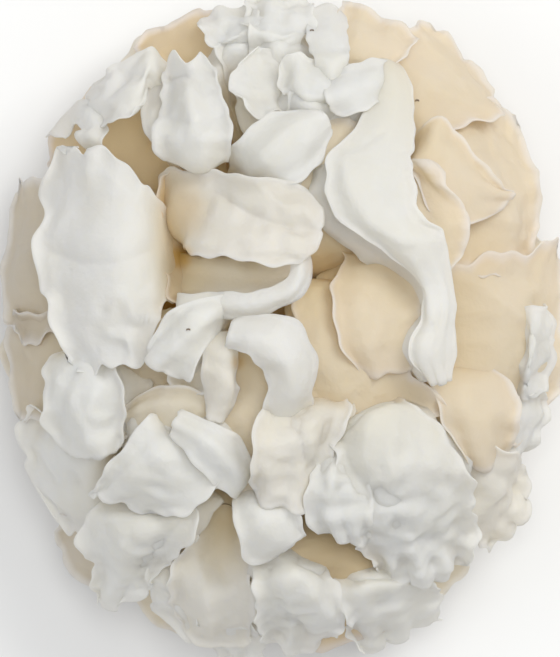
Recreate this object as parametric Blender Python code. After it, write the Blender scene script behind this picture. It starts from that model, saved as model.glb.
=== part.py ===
"""Snow fungus: a dried head of thin ruffled fronds on a small amber foot.

Every frond is one thin solid. It is lofted through ribs, and each rib is three points
across the frond: one margin, the middle and the other margin. A frond that forks has one
lobe for each arm, and its lobes share a root on the foot.
Lengths are in millimetres here and in metres in the finished meshes. +Z is up, and the
foot rests on z = 0.
"""
import math
from collections import namedtuple

import bmesh
import bpy
import numpy as np
from mathutils.bvhtree import BVHTree

MM = 0.001

# The head is a flattened dome. A rib's third number is its height above or below it.
DOME_HALF_X = 50.0
DOME_HALF_Y = 59.0
DOME_RIM_Z = 14.0
DOME_RISE = 42.0

# How much of a rib's bow and of the last rib's drop is kept, and how far a frond reaches
# past its visible margins, under or up to its neighbours.
BOW_KEPT = 0.6
TIP_DROP_KEPT = 0.6
REACH = 0.9

# The foot that all fronds grow from.
CORE_CENTRE = np.array([0.0, 0.0, 9.0])
CORE_HALF = np.array([18.0, 21.0, 17.0])
CORE_LUMP = 0.5
CORE_SEGMENTS = 18
CORE_RINGS = 8

# Frond sections.
ROOT_WIDTH = 6.0
THICKNESS = 1.1
CLEARANCE = 0.3
EXTRA_CLEARANCES = [0.4, 0.6, 0.9]
ALONG_STEP = 10.5
ACROSS_STEP = 10.0

# A cut that leaves less of a frond than this, or a mesh that isn't closed, is made again
# with its tool moved by about this much.
LEAST_LEFT = 0.3
NUDGE = 0.02
NUDGES = 8
NUDGE_SEED = 3

# Cut faces closer to flat than the first of these angles are joined, or than the next one
# where the first would leave a fault.
FLAT_ANGLES = [math.radians(5), math.radians(3), math.radians(1)]

# Points closer than the first of these, in metres, are merged, or the next where needed.
MERGES = [2e-6, 1e-5, 5e-5, 2e-4]

# The ring of plain fronds that hangs below the rim, out of the photograph.
SKIRT_COUNT = 12
SKIRT_SEED = 41

# Ribs of an upper and a lower frond of the ring: share of the way out to the rim, share of
# its width, and height.
SKIRT_TIERS = [
    [(0.5, 0.7, 12.5), (0.74, 1.0, 18.0), (0.94, 0.8, 13.0)],
    [(0.45, 0.7, 7.0), (0.66, 1.0, 10.5), (0.86, 0.8, 7.0)],
]

Lobe = namedtuple("Lobe", "ribs wave tip", defaults=((0.6, 2.0), (0.2, 1, 0.0)))

# Each entry is a frond's name and its lobes. A lobe has its ribs from the root side out,
# then the height and count of the ripples on its margins, then its tip: how round it is,
# its count of points, and how deep the notches between them are, both for a tip 1 wide.
FRONDS = {
    "left_great_frond": [
        Lobe([((-20, 20, -8), (-19.5, 13, -7), (-18, 5, -10)),
              ((-25, 26.5, -2), (-25.5, 12, 1.5), (-23, -5, -4)),
              ((-31, 30, -2), (-33, 12, 3), (-30, -7.5, -4)),
              ((-39.5, 29, -5), (-40, 11, -1), (-37, -5, -6))], (0.7, 2.5), (0.2, 1, 0.0)),
    ],
    "ribbon_frond": [
        Lobe([((13, 41, -12), (15, 41, -13), (17, 41, -12)),
              ((15.5, 44.3, -4), (18, 44.8, 0), (19.8, 43.8, -2)),
              ((13.5, 38, -3), (18, 37.5, 1.5), (21.8, 37, -0.5)),
              ((9, 31, -1), (15.5, 31.5, 3), (21.6, 30.5, 1)),
              ((8, 25, 0), (14.5, 25, 4.5), (20.8, 24.5, 1.5)),
              ((10.5, 18.5, -2), (16.5, 19, 4), (22.5, 18.5, 2)),
              ((17, 14, -3), (21.5, 14.3, 3), (25.6, 15.5, 2)),
              ((24, 8, -4), (26, 8, 2), (27.4, 8, 0)),
              ((24.6, 2, -3), (26.7, 2, 2), (28.3, 2, 0)),
              ((21.5, -3.5, -1), (25, -3.5, 2), (28, -3, -1)),
              ((25.8, -9.3, -1), (26.5, -9.6, 0), (27.2, -9.2, -1))], (0.3, 3.0), (0.05, 1, 0.0)),
        Lobe([((18, 42, -5), (17, 39, -4), (16, 37, -7)),
              ((13, 43, -2), (12.5, 39.8, 3), (13, 36.5, -2)),
              ((8, 40.5, -3), (7.3, 38, 1), (8.3, 35.8, -3))], (0.3, 1.5), (0.3, 1, 0.0)),
    ],
    "centre_frond": [
        Lobe([((-20, 24, -12), (-18.5, 17, -10), (-16, 14, -12)),
              ((-13.5, 26, -5), (-12, 19, -2), (-13.5, 12.6, -2)),
              ((-6, 24, -3), (-5, 18, 2), (-6, 11.8, 1)),
              ((1.5, 23, -3), (1.5, 17.5, 3), (1, 11.6, 1.5)),
              ((6, 19.5, -4), (6.8, 16, -1), (5, 12, 0))], (0.5, 2.0), (0.3, 1, 0.0)),
    ],
    "centre_scroll": [
        Lobe([((-18, 12, -13), (-18, 9, -17), (-18, 5, -11)),
              ((-10, 12, -9), (-10, 8, -11), (-11, 4.5, -4)),
              ((-3, 12, -8), (-3, 8, -10), (-4, 4.5, -2)),
              ((2.5, 13, -6), (2.5, 9, -6), (1.5, 6, -2))], (0.2, 2.0), (0.3, 1, 0.0)),
        Lobe([((-17, 6, -9), (-17, 3.5, -4), (-17, 1, -8)),
              ((-10, 5.8, -3), (-10, 3.8, 0), (-10, 1.5, -5)),
              ((-4, 6, -1), (-4, 4.2, 2), (-4, 1.6, -4)),
              ((0.8, 7.4, -1), (2.2, 5.4, 3), (3.2, 3, -3)),
              ((3, 10.5, -1), (5, 10, 3), (6.6, 9, -3)),
              ((2.5, 14, -2), (4.2, 14.8, 1), (6.4, 15, -3))], (0.2, 2.0), (0.3, 1, 0.0)),
    ],
    "two_point_frond": [
        Lobe([((-17, 30, -13), (-13.5, 29, -13), (-10.5, 30, -13)),
              ((-18.5, 28.3, -5), (-13.5, 26, -2.5), (-9.3, 27.5, -5)),
              ((-20.3, 32, -3), (-14.5, 31, 3), (-8.8, 32, -2)),
              ((-19.3, 37, -4), (-14.5, 37, 3), (-9.8, 37, -2.5)),
              ((-19, 41.5, -6), (-15, 42, 0.5), (-11.3, 41.5, -4)),
              ((-18.8, 46.2, -5), (-15.5, 46.5, -2), (-12, 45.8, -4))], (0.3, 1.5), (0.1, 2, 0.6)),
        Lobe([((-19, 29, -9), (-18, 28.5, -8), (-17, 28, -9)),
              ((-21.8, 33, -5), (-20.7, 33, -3), (-19.8, 33, -5)),
              ((-21.8, 38, -5), (-20.7, 38.3, -4), (-19.8, 38, -6)),
              ((-20.8, 42.5, -8), (-20.2, 42.5, -7), (-19.6, 42.5, -8))], (0.2, 1.0), (0.2, 1, 0.0)),
    ],
    "leaf_frond": [
        Lobe([((-8, 26, -9), (-5, 24, -9), (-3, 22, -10)),
              ((-6, 31, -2), (-2, 27.5, 2), (1, 24, -3)),
              ((-2, 34.3, -2), (2.5, 31, 3), (5.5, 28, -2)),
              ((5, 35.2, -1), (6.8, 34.3, 0), (8, 33, -1))], (0.3, 1.5), (0.15, 1, 0.0)),
    ],
    "hook_frond": [
        Lobe([((-5, -16.5, -11), (-1, -17, -8), (3, -15, -11)),
              ((-2, -13, -3), (1.5, -12, 1), (4.8, -10.5, -4)),
              ((-1.5, -7.5, -1), (2, -6, 4), (5, -4.5, -3)),
              ((-4, -4, 1), (-1.5, -1.5, 5), (1, 1, -2)),
              ((-9, -2.4, -1), (-8.6, -0.8, 1), (-8, 0.4, -2))], (0.3, 2.0), (0.1, 1, 0.0)),
    ],
    "lower_great_frond": [
        Lobe([((8, -17, -10), (13, -14, -8), (18, -12, -10)),
              ((9, -19.5, -3), (15.5, -14.5, 2.5), (22.5, -13, -3)),
              ((10.5, -26, 0), (19, -22.5, 5.5), (29, -21, -1)),
              ((13, -32.5, -1), (22, -30.5, 5), (32.3, -29, -2)),
              ((14.5, -38, -5), (23.5, -38, 1), (32, -36, -6)),
              ((18, -41.5, -11), (24.5, -42.5, -7), (29, -41, -12))], (0.9, 3.5), (0.25, 1, 0.0)),
        Lobe([((7, -20, -6), (10, -19, -4), (13, -20, -6)),
              ((5.3, -25, -2), (9.5, -25, 4), (14, -25, 1)),
              ((5, -30, -3), (9.5, -30.5, 4), (14.5, -31, 1)),
              ((8, -34.5, -5), (11.3, -36, -1), (14, -36.5, -4))], (0.8, 2.5), (0.3, 1, 0.0)),
    ],
    "lower_middle_frond": [
        Lobe([((0, -12, -10), (5, -11, -8), (10, -11, -10)),
              ((-2.5, -16, -3), (4, -16, 2.5), (10.5, -16, -3)),
              ((-3.9, -22, -2), (2.5, -22.5, 3), (8, -23, -3)),
              ((-3, -29, -6), (1, -30, -1), (5.5, -29.5, -6))], (0.7, 2.5), (0.2, 1, 0.0)),
    ],
    "lower_left_frond": [
        Lobe([((-17, -15, -10), (-13, -18, -8), (-9, -22, -10)),
              ((-22, -16, -3), (-17, -20, 1.5), (-11, -26, -3)),
              ((-27, -22.5, -2), (-22, -24.5, 3), (-16, -29.5, -2)),
              ((-31, -28, -6), (-28, -28.3, -3), (-24, -30, -4))], (0.5, 2.5), (0.2, 1, 0.0)),
        Lobe([((-6, -26.3, -7), (-5, -24.5, -5), (-4, -22.5, -8)),
              ((-10, -25, -2), (-8.5, -22, 2), (-7.5, -19, -4)),
              ((-13.5, -21.5, 0), (-12, -18.8, 3), (-11, -16.3, -3)),
              ((-18, -17, -1), (-17.5, -15.8, 0), (-17, -14.6, -2))], (0.3, 2.0), (0.1, 1, 0.0)),
    ],
    "lower_left_low_frond": [
        Lobe([((-28, -28.5, -8), (-21, -28.5, -6), (-13.5, -28, -8)),
              ((-32.3, -33, -4), (-23.5, -33.5, 2), (-14.3, -33, -3)),
              ((-31.3, -38.5, -4), (-25, -39, 1.5), (-18, -38.8, -4)),
              ((-29, -46, -8), (-27.5, -46, -6), (-24, -43.5, -8))], (0.4, 2.0), (0.1, 1, 0.0)),
    ],
    "middle_left_frond": [
        Lobe([((-8, 4.5, -5), (-9, 2, -4), (-10, 0, -6)),
              ((-12.5, 4.2, -1), (-13, 1.5, 2.5), (-13, -2.5, -1)),
              ((-17.5, 2, -1), (-16.5, -1.5, 2.5), (-15, -7, -1)),
              ((-22, -5, -2), (-20.5, -6.5, 0), (-17.5, -8, -3))], (0.5, 2.0), (0.15, 1, 0.0)),
    ],
    "middle_right_frond": [
        Lobe([((-10.5, -1, -4), (-8.5, -1, -2), (-7, -2, -5)),
              ((-12, -6, 0), (-9, -7, 2), (-7.7, -8, -2)),
              ((-12, -10, -1), (-9, -11, 1.5), (-8, -11, -3)),
              ((-12, -15, -3), (-11, -16, -2), (-10, -15.5, -4))], (0.4, 2.0), (0.2, 1, 0.0)),
        Lobe([((-17, -5, -6), (-14, -4, -8), (-12, -4, -5)),
              ((-17.5, -9, -4), (-14.5, -9, -6), (-12, -8, -1)),
              ((-16, -11.5, -3), (-13.5, -11.5, -2), (-12, -11, -1))], (0.3, 2.0), (0.2, 1, 0.0)),
    ],
    "middle_low_frond": [
        Lobe([((-10, -12, -6), (-11, -14, -6), (-12, -17, -8)),
              ((-15.5, -10.5, -4), (-16.5, -13, -2), (-17.5, -16.5, -5)),
              ((-21, -10.5, -5), (-22, -13.3, -3), (-22, -16.5, -6)),
              ((-26.5, -14.3, -6), (-26.3, -15.2, -5), (-25, -16.5, -7))], (0.4, 2.0), (0.15, 1, 0.0)),
    ],
    "small_pointed_frond": [
        Lobe([((-6.5, -27, -6), (-4.5, -26.5, -5), (-3, -27, -7)),
              ((-6.3, -33, -1), (-3, -31.5, 3), (0.5, -30, -2)),
              ((-4.5, -38, -1), (-1, -35, 3), (2.5, -32, -1)),
              ((-1, -37.8, -2), (1.5, -36, 0), (3.6, -34.6, -1))], (0.2, 1.5), (0.05, 1, 0.0)),
    ],
    "bottom_cup_frond": [
        Lobe([((-12, -27, -8), (-9, -26.5, -15), (-6, -28, -9)),
              ((-14, -32, -4), (-9.5, -33, -12), (-6, -33, -7)),
              ((-17, -39, -3), (-10.5, -40, -8), (-5.5, -40, -4)),
              ((-18, -44, -6), (-11, -46, -2), (-5, -46, -4)),
              ((-15.5, -51, -10), (-11, -53, -8), (-6, -53, -10))], (0.5, 2.0), (0.2, 1, 0.0)),
    ],
    "bottom_middle_frond": [
        Lobe([((-3.5, -38, -8), (1, -37, -6), (6, -38, -9)),
              ((-3.3, -43, -1), (2.5, -42, 3), (9, -43, -4)),
              ((-3.3, -48, -3), (3.5, -48, 2), (9.5, -49, -6)),
              ((-2, -53, -10), (2.5, -55, -8), (7, -53, -11))], (0.7, 2.5), (0.2, 1, 0.0)),
    ],
    "left_middle_frond": [
        Lobe([((-36, -4, -9), (-32, -3, -8), (-27, -4, -10)),
              ((-38, -10, -4), (-32.5, -9, 1), (-27, -9, -4)),
              ((-37.5, -16, -4), (-32, -15.5, 1.5), (-26.5, -15.5, -4)),
              ((-33.5, -21.3, -6), (-30.5, -21.3, -4), (-27, -21, -7))], (0.4, 2.0), (0.3, 1, 0.0)),
    ],
    "right_strand_frond": [
        Lobe([((24, 33, -6), (23, 30, -5), (20.5, 26, -8)),
              ((29, 31.8, -3), (27, 28.5, -1), (23.5, 23, -6)),
              ((32.5, 27.5, -2), (30, 25, -1), (26, 19, -6)),
              ((36, 23.3, -2), (35, 22.3, -2), (31, 18, -6)),
              ((39.2, 22.3, -3), (39, 21.8, -3), (38, 21, -4))], (0.3, 2.0), (0.1, 1, 0.0)),
        Lobe([((20, 27, -8), (19.5, 18, -9), (21, 10, -9)),
              ((23, 28, -3), (25, 18.5, -3), (25, 9, -5)),
              ((25.5, 25.5, -1), (29.3, 18.5, 0), (29, 10, -3)),
              ((27.8, 23.5, -1), (30.6, 17.5, -1), (30.6, 11, -3))], (0.4, 2.0), (0.2, 1, 0.0)),
    ],
    "right_lower_petal": [
        Lobe([((24, -8, -10), (28, -7, -9), (33, -6, -11)),
              ((27.5, -15, -6), (32, -13.5, -2), (38, -12.5, -6)),
              ((30.5, -20.5, -4), (33.5, -20.5, -1), (38, -18.5, -6)),
              ((32.5, -23, -6), (34, -23.5, -4), (36, -22.5, -7))], (0.3, 1.5), (0.2, 1, 0.0)),
    ],
    "right_rim_frond": [
        Lobe([((39, 2, -9), (39, -4, -9), (38, -10, -11)),
              ((42.5, 2.5, -4), (42, -4, -1), (41, -10.5, -6)),
              ((46, 2, -8), (45.5, -3.5, -6), (43.5, -9.5, -10))], (0.7, 2.5), (0.2, 1, 0.0)),
        Lobe([((37, -11, -10), (36.5, -15, -10), (36, -19, -12)),
              ((42, -11, -6), (41.5, -15.5, -4), (40, -20, -8)),
              ((44.5, -12, -10), (44, -16, -9), (42, -20, -12))], (0.6, 2.0), (0.2, 1, 0.0)),
    ],
    "top_middle_frond": [
        Lobe([((1, 43, -6), (1, 38, -7), (0, 35, -8)),
              ((-4, 46, -2), (-4, 40, -3), (-3, 35, -3)),
              ((-7, 44.5, 0), (-8.6, 40.5, 1), (-6.5, 35.5, -1))], (0.5, 2.0), (0.2, 1, 0.0)),
        Lobe([((2, 36, -5), (6, 35, -2), (10, 36, -5)),
              ((0.5, 40, -1), (5.5, 40, 3), (11, 40, -2)),
              ((0, 45, -2), (5, 45.5, 1), (11, 44.5, -3))], (0.9, 2.5), (0.2, 1, 0.0)),
    ],
    "top_left_frond": [
        Lobe([((-9, 44, -6), (-5, 46, -5), (-1, 48, -8)),
              ((-11.5, 48, -2), (-8, 49.5, 1), (-4, 52, -4)),
              ((-13.5, 52, -6), (-11, 53.5, -5), (-7, 55, -9))], (0.6, 2.0), (0.2, 1, 0.0)),
        Lobe([((-4, 46, -5), (0, 45, -3), (4, 46, -6)),
              ((-5.5, 51, -3), (-0.5, 51, 1), (4.8, 51, -4)),
              ((-5, 55.5, -10), (-0.5, 56.5, -9), (4, 55.5, -11))], (0.9, 2.5), (0.3, 2, 0.15)),
    ],
    "top_strand_frond": [
        Lobe([((6.5, 41, -3), (8.5, 40.5, 0), (10.5, 41.5, -3)),
              ((5.5, 47, -2), (8, 47, 1), (10.5, 47, -2)),
              ((5, 53, -7), (7.5, 54.5, -6), (10, 53, -8))], (0.3, 1.5), (0.2, 1, 0.0)),
    ],
    "upper_left_frond": [
        Lobe([((-19.5, 44.5, -6), (-20, 42, -5), (-21, 40, -8)),
              ((-24.5, 44.3, -3), (-24, 40.5, 1), (-24.5, 35.5, -3)),
              ((-29, 42, -5), (-29.5, 38.5, -1), (-28.5, 34.8, -4)),
              ((-32.5, 39, -8), (-33, 37, -6), (-32, 35, -7))], (0.6, 2.5), (0.2, 1, 0.0)),
        Lobe([((-29, 29, -7), (-30.2, 29.5, -5), (-31.4, 30, -7)),
              ((-29.8, 34, -3), (-31, 34, -1), (-32.2, 33.6, -3)),
              ((-33.5, 38, -4), (-34, 36.6, -2), (-34.4, 35.2, -4)),
              ((-38.5, 32, -8), (-37.4, 32, -7), (-36.3, 32, -8))], (0.1, 1.0), (0.1, 1, 0.0)),
    ],
    "lower_left_rim_frond": [
        Lobe([((-28, -20, -8), (-28, -27, -9), (-27, -33, -10)),
              ((-34, -17.5, -5), (-34.5, -26, -4), (-32, -35, -8)),
              ((-39.5, -14.5, -5), (-39.5, -23, -4), (-36, -33.5, -9)),
              ((-43.5, -13, -8), (-42.8, -20.5, -8), (-39, -29, -11))], (0.6, 2.5), (0.2, 1, 0.0)),
    ],
    "bottom_right_frond": [
        Lobe([((9, -40, -9), (15, -39, -8), (22, -40, -10)),
              ((10.5, -45.5, -4), (17, -43.5, 0), (26, -43.5, -6)),
              ((12, -51, -7), (18.5, -49, -4), (26, -46.5, -10)),
              ((13, -54, -13), (19, -52, -12), (24.5, -49.5, -14))], (0.9, 3.0), (0.2, 1, 0.0)),
    ],
    "bottom_edge_frond": [
        Lobe([((-13, -45, -8), (-9, -46, -7), (-5, -46, -9)),
              ((-13, -50, -5), (-8.5, -51, -3), (-4, -51, -7)),
              ((-10.5, -55, -11), (-7, -56.5, -11), (-3, -56, -12))], (0.7, 2.5), (0.2, 1, 0.0)),
        Lobe([((-20, -38, -9), (-17, -40, -8), (-14, -42, -10)),
              ((-21, -44, -6), (-17.5, -46, -4), (-14, -48, -8)),
              ((-20, -48, -10), (-16, -51, -10), (-12, -53, -12))], (0.5, 2.0), (0.2, 1, 0.0)),
    ],
    "right_lower_frond": [
        Lobe([((27, -16, -12), (25, -22, -12), (26, -30, -13)),
              ((34, -19, -6), (33, -25.5, -4), (31, -34, -7)),
              ((39.5, -22, -5), (38, -28.5, -3), (34, -36.5, -8)),
              ((41.5, -26, -10), (40, -31, -9), (36.5, -36, -12))], (0.9, 3.0), (0.2, 1, 0.0)),
    ],
    "centre_right_frond": [
        Lobe([((11, 13, -12), (16, 13, -10), (22, 12, -10)),
              ((9.3, 6, -8), (15, 5, -4), (23, 4, -6)),
              ((9.5, -0.5, -6), (16, -1, -3), (23.5, -2, -5)),
              ((13, -6, -6), (17, -6.5, -3), (21.5, -6.5, -5)),
              ((15, -8.8, -6), (17, -8, -5), (19.5, -7, -6))], (0.3, 2.0), (0.1, 1, 0.0)),
    ],
    "centre_low_frond": [
        Lobe([((3, 8, -13), (8, 8, -12), (14, 8, -13)),
              ((3.5, 1, -8), (9, 0, -6), (16, -1, -9)),
              ((3, -6, -6), (10, -7, -5), (20, -7, -8)),
              ((4, -12, -7), (13, -13, -6), (26, -12, -8)),
              ((8, -16, -8), (16, -16.5, -8), (26, -15, -9))], (0.4, 2.0), (0.2, 1, 0.0)),
    ],
    "centre_wall_frond": [
        Lobe([((3, 10, -11), (8, 10, -13), (13, 12, -11)),
              ((2, 19, -7), (7.5, 20, -6), (14, 20, -7)),
              ((3, 27, -5), (8.5, 27.5, -4), (14, 28, -6)),
              ((5, 34, -5), (9, 35, -5), (14, 34, -7))], (0.3, 2.0), (0.2, 1, 0.0)),
    ],
    "right_broad_frond": [
        Lobe([((20, 6, -14), (20, -3, -16), (19, -12, -14)),
              ((27, 10, -9), (28.5, -3, -10), (25, -15, -10)),
              ((36, 12, -7), (37, -4, -6), (33, -20, -9)),
              ((43.5, 14, -8), (43.5, -2, -6), (41, -17, -9)),
              ((46.3, 12, -11), (46.8, -2, -10), (45, -13, -12))], (0.5, 2.0), (0.15, 1, 0.0)),
    ],
    "right_upper_frond": [
        Lobe([((20, 34, -12), (24, 24, -14), (26, 12, -12)),
              ((28, 40, -9), (31, 25, -8), (31, 9, -9)),
              ((36, 37, -8), (38.5, 24, -5), (38, 10, -8)),
              ((40, 33, -11), (43.5, 22, -8), (44, 13, -11))], (0.5, 2.0), (0.2, 1, 0.0)),
    ],
    "top_right_frond": [
        Lobe([((12, 41, -12), (17, 36, -14), (21, 31, -13)),
              ((17, 47, -9), (23, 41, -8), (28, 33, -9)),
              ((22, 50, -9), (29, 43.5, -6), (35, 35, -9)),
              ((26, 49, -13), (31, 45, -11), (35.5, 39, -13))], (0.6, 2.0), (0.2, 1, 0.0)),
        Lobe([((8, 43, -10), (12, 41, -11), (16, 40, -11)),
              ((9.5, 50, -6), (14.5, 47, -4), (20, 45, -7)),
              ((12, 54, -9), (17, 51.5, -7), (22, 48.5, -10))], (0.6, 2.0), (0.2, 1, 0.0)),
    ],
    "top_left_back_frond": [
        Lobe([((-18, 40, -12), (-14, 41, -14), (-10, 41, -12)),
              ((-22, 45, -9), (-16.5, 47, -8), (-9, 48, -9)),
              ((-23, 48, -12), (-18, 50.5, -11), (-10, 53.5, -13))], (0.5, 2.0), (0.2, 1, 0.0)),
    ],
    "upper_left_back_frond": [
        Lobe([((-22, 20, -20), (-20, 26, -22), (-18, 32, -20)),
              ((-29, 22, -14), (-27, 31, -16), (-22, 38, -14)),
              ((-36, 26, -12), (-34, 32, -11), (-28, 41, -13)),
              ((-39.5, 29, -14), (-37, 33.5, -14), (-33, 38, -15))], (0.5, 2.0), (0.2, 1, 0.0)),
    ],
    "far_left_frond": [
        Lobe([((-34, 22, -14), (-34, 10, -15), (-34, 0, -14)),
              ((-41, 25, -9), (-42, 12, -8), (-41, -2, -10)),
              ((-44, 22, -12), (-46.3, 12, -11), (-46, 0, -13))], (0.5, 2.0), (0.2, 1, 0.0)),
    ],
    "left_lower_frond": [
        Lobe([((-30, -1, -14), (-30, -6, -15), (-28, -12, -14)),
              ((-38, 2, -11), (-39, -6, -9), (-38, -15, -11)),
              ((-45.5, 3, -13), (-46, -4.5, -11), (-44, -13, -14))], (0.6, 2.0), (0.2, 1, 0.0)),
    ],
    "lower_left_back_frond": [
        Lobe([((-29, -30, -12), (-27, -34, -12), (-24, -39, -13)),
              ((-36, -32, -10), (-32, -38, -8), (-27, -43, -11)),
              ((-37.5, -35, -13), (-34, -40.5, -12), (-29, -45, -14))], (0.5, 2.0), (0.2, 1, 0.0)),
    ],
    "left_inner_frond": [
        Lobe([((-13, 1, -12), (-13, -5, -12), (-12, -12, -13)),
              ((-20, 1, -8), (-20, -6, -7), (-19, -14, -9)),
              ((-26, 0, -8), (-26, -8, -7), (-25, -17, -9)),
              ((-31, -3, -9), (-31, -10, -8), (-29, -18, -10))], (0.5, 2.0), (0.2, 1, 0.0)),
    ],
    "lower_inner_frond": [
        Lobe([((-9, -3, -10), (-4.5, -2, -9), (0, -4, -10)),
              ((-9, -11, -7), (-4.5, -10, -5), (0, -10, -7)),
              ((-11, -19, -6), (-5.5, -19, -5), (0, -19, -6)),
              ((-9, -27, -6), (-4.5, -28, -6), (0, -27, -7))], (0.3, 2.0), (0.2, 1, 0.0)),
    ],
    "bottom_back_frond": [
        Lobe([((-2, -34, -11), (7, -34, -12), (15, -36, -12)),
              ((-2, -42, -8), (8, -42, -9), (18, -44, -9)),
              ((-1, -50, -10), (8, -53, -10), (18, -50, -12))], (0.4, 2.0), (0.2, 1, 0.0)),
    ],
    "left_hollow_frond": [
        Lobe([((-12, 27, -12), (-13, 15, -20), (-12, 4, -14)),
              ((-17, 27, -8), (-17, 15, -12), (-16, 4, -9)),
              ((-21.5, 25, -6), (-21, 14, -6), (-20, 3, -6))], (0.3, 2.0), (0.2, 1, 0.0)),
    ],
}


def dome_z(x, y):
    """Height of the head's dome above a point of the plan."""
    inside = max(0.0, 1 - (x / DOME_HALF_X) ** 2 - (y / DOME_HALF_Y) ** 2)
    return DOME_RIM_Z + DOME_RISE * math.sqrt(inside)


def curve_through(values, s):
    """Catmull-Rom curve through values, read at s from 0 to the last index."""
    last = len(values) - 1
    padded = np.concatenate([[2 * values[0] - values[1]], values, [2 * values[-1] - values[-2]]])
    index = np.clip(np.floor(s).astype(int), 0, last - 1)
    f = (s - index)[:, None]
    a, b, c, d = (padded[index + k] for k in range(4))
    return 0.5 * (2 * b + (c - a) * f + (2 * a - 5 * b + 4 * c - d) * f ** 2
                  + (3 * b - a - 3 * c + d) * f ** 3)


def rib_points(lobe):
    """The lobe's ribs as points in millimetres."""
    ribs = np.array(lobe.ribs, dtype=float)
    lift = ribs[:, :, 2]
    lift[-1] = lift[-2] + (lift[-1] - lift[-2]) * TIP_DROP_KEPT
    lift += (lift[:, 1:2] - lift) * (1 - BOW_KEPT)
    away = ribs[:, ::2, :2] - ribs[:, 1:2, :2]
    ribs[:, ::2, :2] += away / np.linalg.norm(away, axis=-1)[..., None] * REACH
    lift += [[dome_z(x, y) for x, y in rib] for rib in ribs[:, :, :2]]
    return ribs


def root_of(lobes):
    """The point of the foot that a frond grows from: below the middle of its first ribs."""
    middle = np.mean([rib_points(lobe)[0, 1] for lobe in lobes], axis=0)
    away = (middle - CORE_CENTRE) / CORE_HALF
    return CORE_CENTRE + away / np.linalg.norm(away) * CORE_HALF * 0.97


def lobe_lines(lobe, root, samples=120):
    """The lobe's left, middle and right lines from the root out, and its length."""
    ribs = rib_points(lobe)
    across = ribs[0, 2] - ribs[0, 0]
    half = across / np.linalg.norm(across) * ROOT_WIDTH / 2
    ribs = np.concatenate([[[root - half, root, root + half]], ribs])
    s = np.linspace(0, len(ribs) - 1, samples)
    middle = curve_through(ribs[:, 1], s)
    arc = np.concatenate([[0], np.cumsum(np.linalg.norm(np.diff(middle, axis=0), axis=1))])
    even = np.interp(np.linspace(0, arc[-1], samples), arc, s)
    return [curve_through(ribs[:, k], even) for k in range(3)], arc[-1]


def lobe_grid(lobe, root, across, along, seed):
    """Middle surface of a lobe: (along + 1) x (across + 1) points in millimetres."""
    (left, middle, right), length = lobe_lines(lobe, root)
    rounding, points, notch = lobe.tip
    height, count = lobe.wave
    phase = np.random.default_rng(seed).uniform(0, 2 * math.pi, 8)
    u = np.linspace(-1, 1, across + 1)[None, :]
    v = np.linspace(0, 1, along + 1)[:, None]
    corner = 1 - (1 - np.abs(u) ** 2.2) ** (1 / 2.2)
    flip = math.pi if points % 2 else 0.0
    short = rounding * corner + notch * (0.5 + 0.5 * np.cos(math.pi * u * points + flip))
    short = short + 0.03 * (np.sin(u * 7 + phase[0]) + 0.6 * np.sin(u * 15 + phase[1]))
    tip_width = np.linalg.norm(right[-1] - left[-1])
    t = np.clip(v - short * tip_width / length * v ** 4, 0, 1)
    at = t * (len(middle) - 1)
    low = np.clip(np.floor(at).astype(int), 0, len(middle) - 2)
    f = (at - low)[..., None]
    l, m, r = (line[low] * (1 - f) + line[low + 1] * f for line in (left, middle, right))
    side = np.sign(u)
    spread = 1 + 0.05 * np.sin(t * length * 0.55 + phase[2] + side)
    spread = spread + 0.03 * np.sin(t * length * 1.3 + phase[3])
    q = (u * spread)[..., None]
    surface = m + (r - l) / 2 * q + ((l + r) / 2 - m) * q ** 2 * (1.8 - 0.8 * q ** 2)
    normal = grid_normals(surface)
    turns = 2 * math.pi * count
    edge = np.abs(u) ** 2.5 * np.sin(turns * t + phase[4] + (u > 0) * 2.1) * np.clip(t * 3, 0, 1)
    front = t ** 4 * np.sin(turns * 0.5 * u + phase[5]) * 0.8
    return surface + normal * (height * (edge + front))[..., None]


def grid_normals(grid):
    """Unit normals at the points of a grid."""
    normal = np.cross(np.gradient(grid, axis=1), np.gradient(grid, axis=0))
    return normal / np.maximum(np.linalg.norm(normal, axis=-1), 1e-9)[..., None]


def lobe_steps(lobe, root):
    """How many quads the lobe gets across and along."""
    (left, _, right), length = lobe_lines(lobe, root)
    width = np.linalg.norm(right - left, axis=1).max()
    across = int(np.clip(round(width / ACROSS_STEP), 2, 5))
    along = int(np.clip(round(length / ALONG_STEP), 4, 14))
    return across, along


def grown(grid, grow):
    """The grid with its four edges moved outward."""
    wide = grid.copy()
    for edge, inner in (((slice(None), 0), (slice(None), 1)), ((slice(None), -1), (slice(None), -2)),
                        ((0,), (1,)), ((-1,), (-2,))):
        step = grid[edge] - grid[inner]
        wide[edge] += step / np.linalg.norm(step, axis=-1)[..., None] * grow
    return wide


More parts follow.
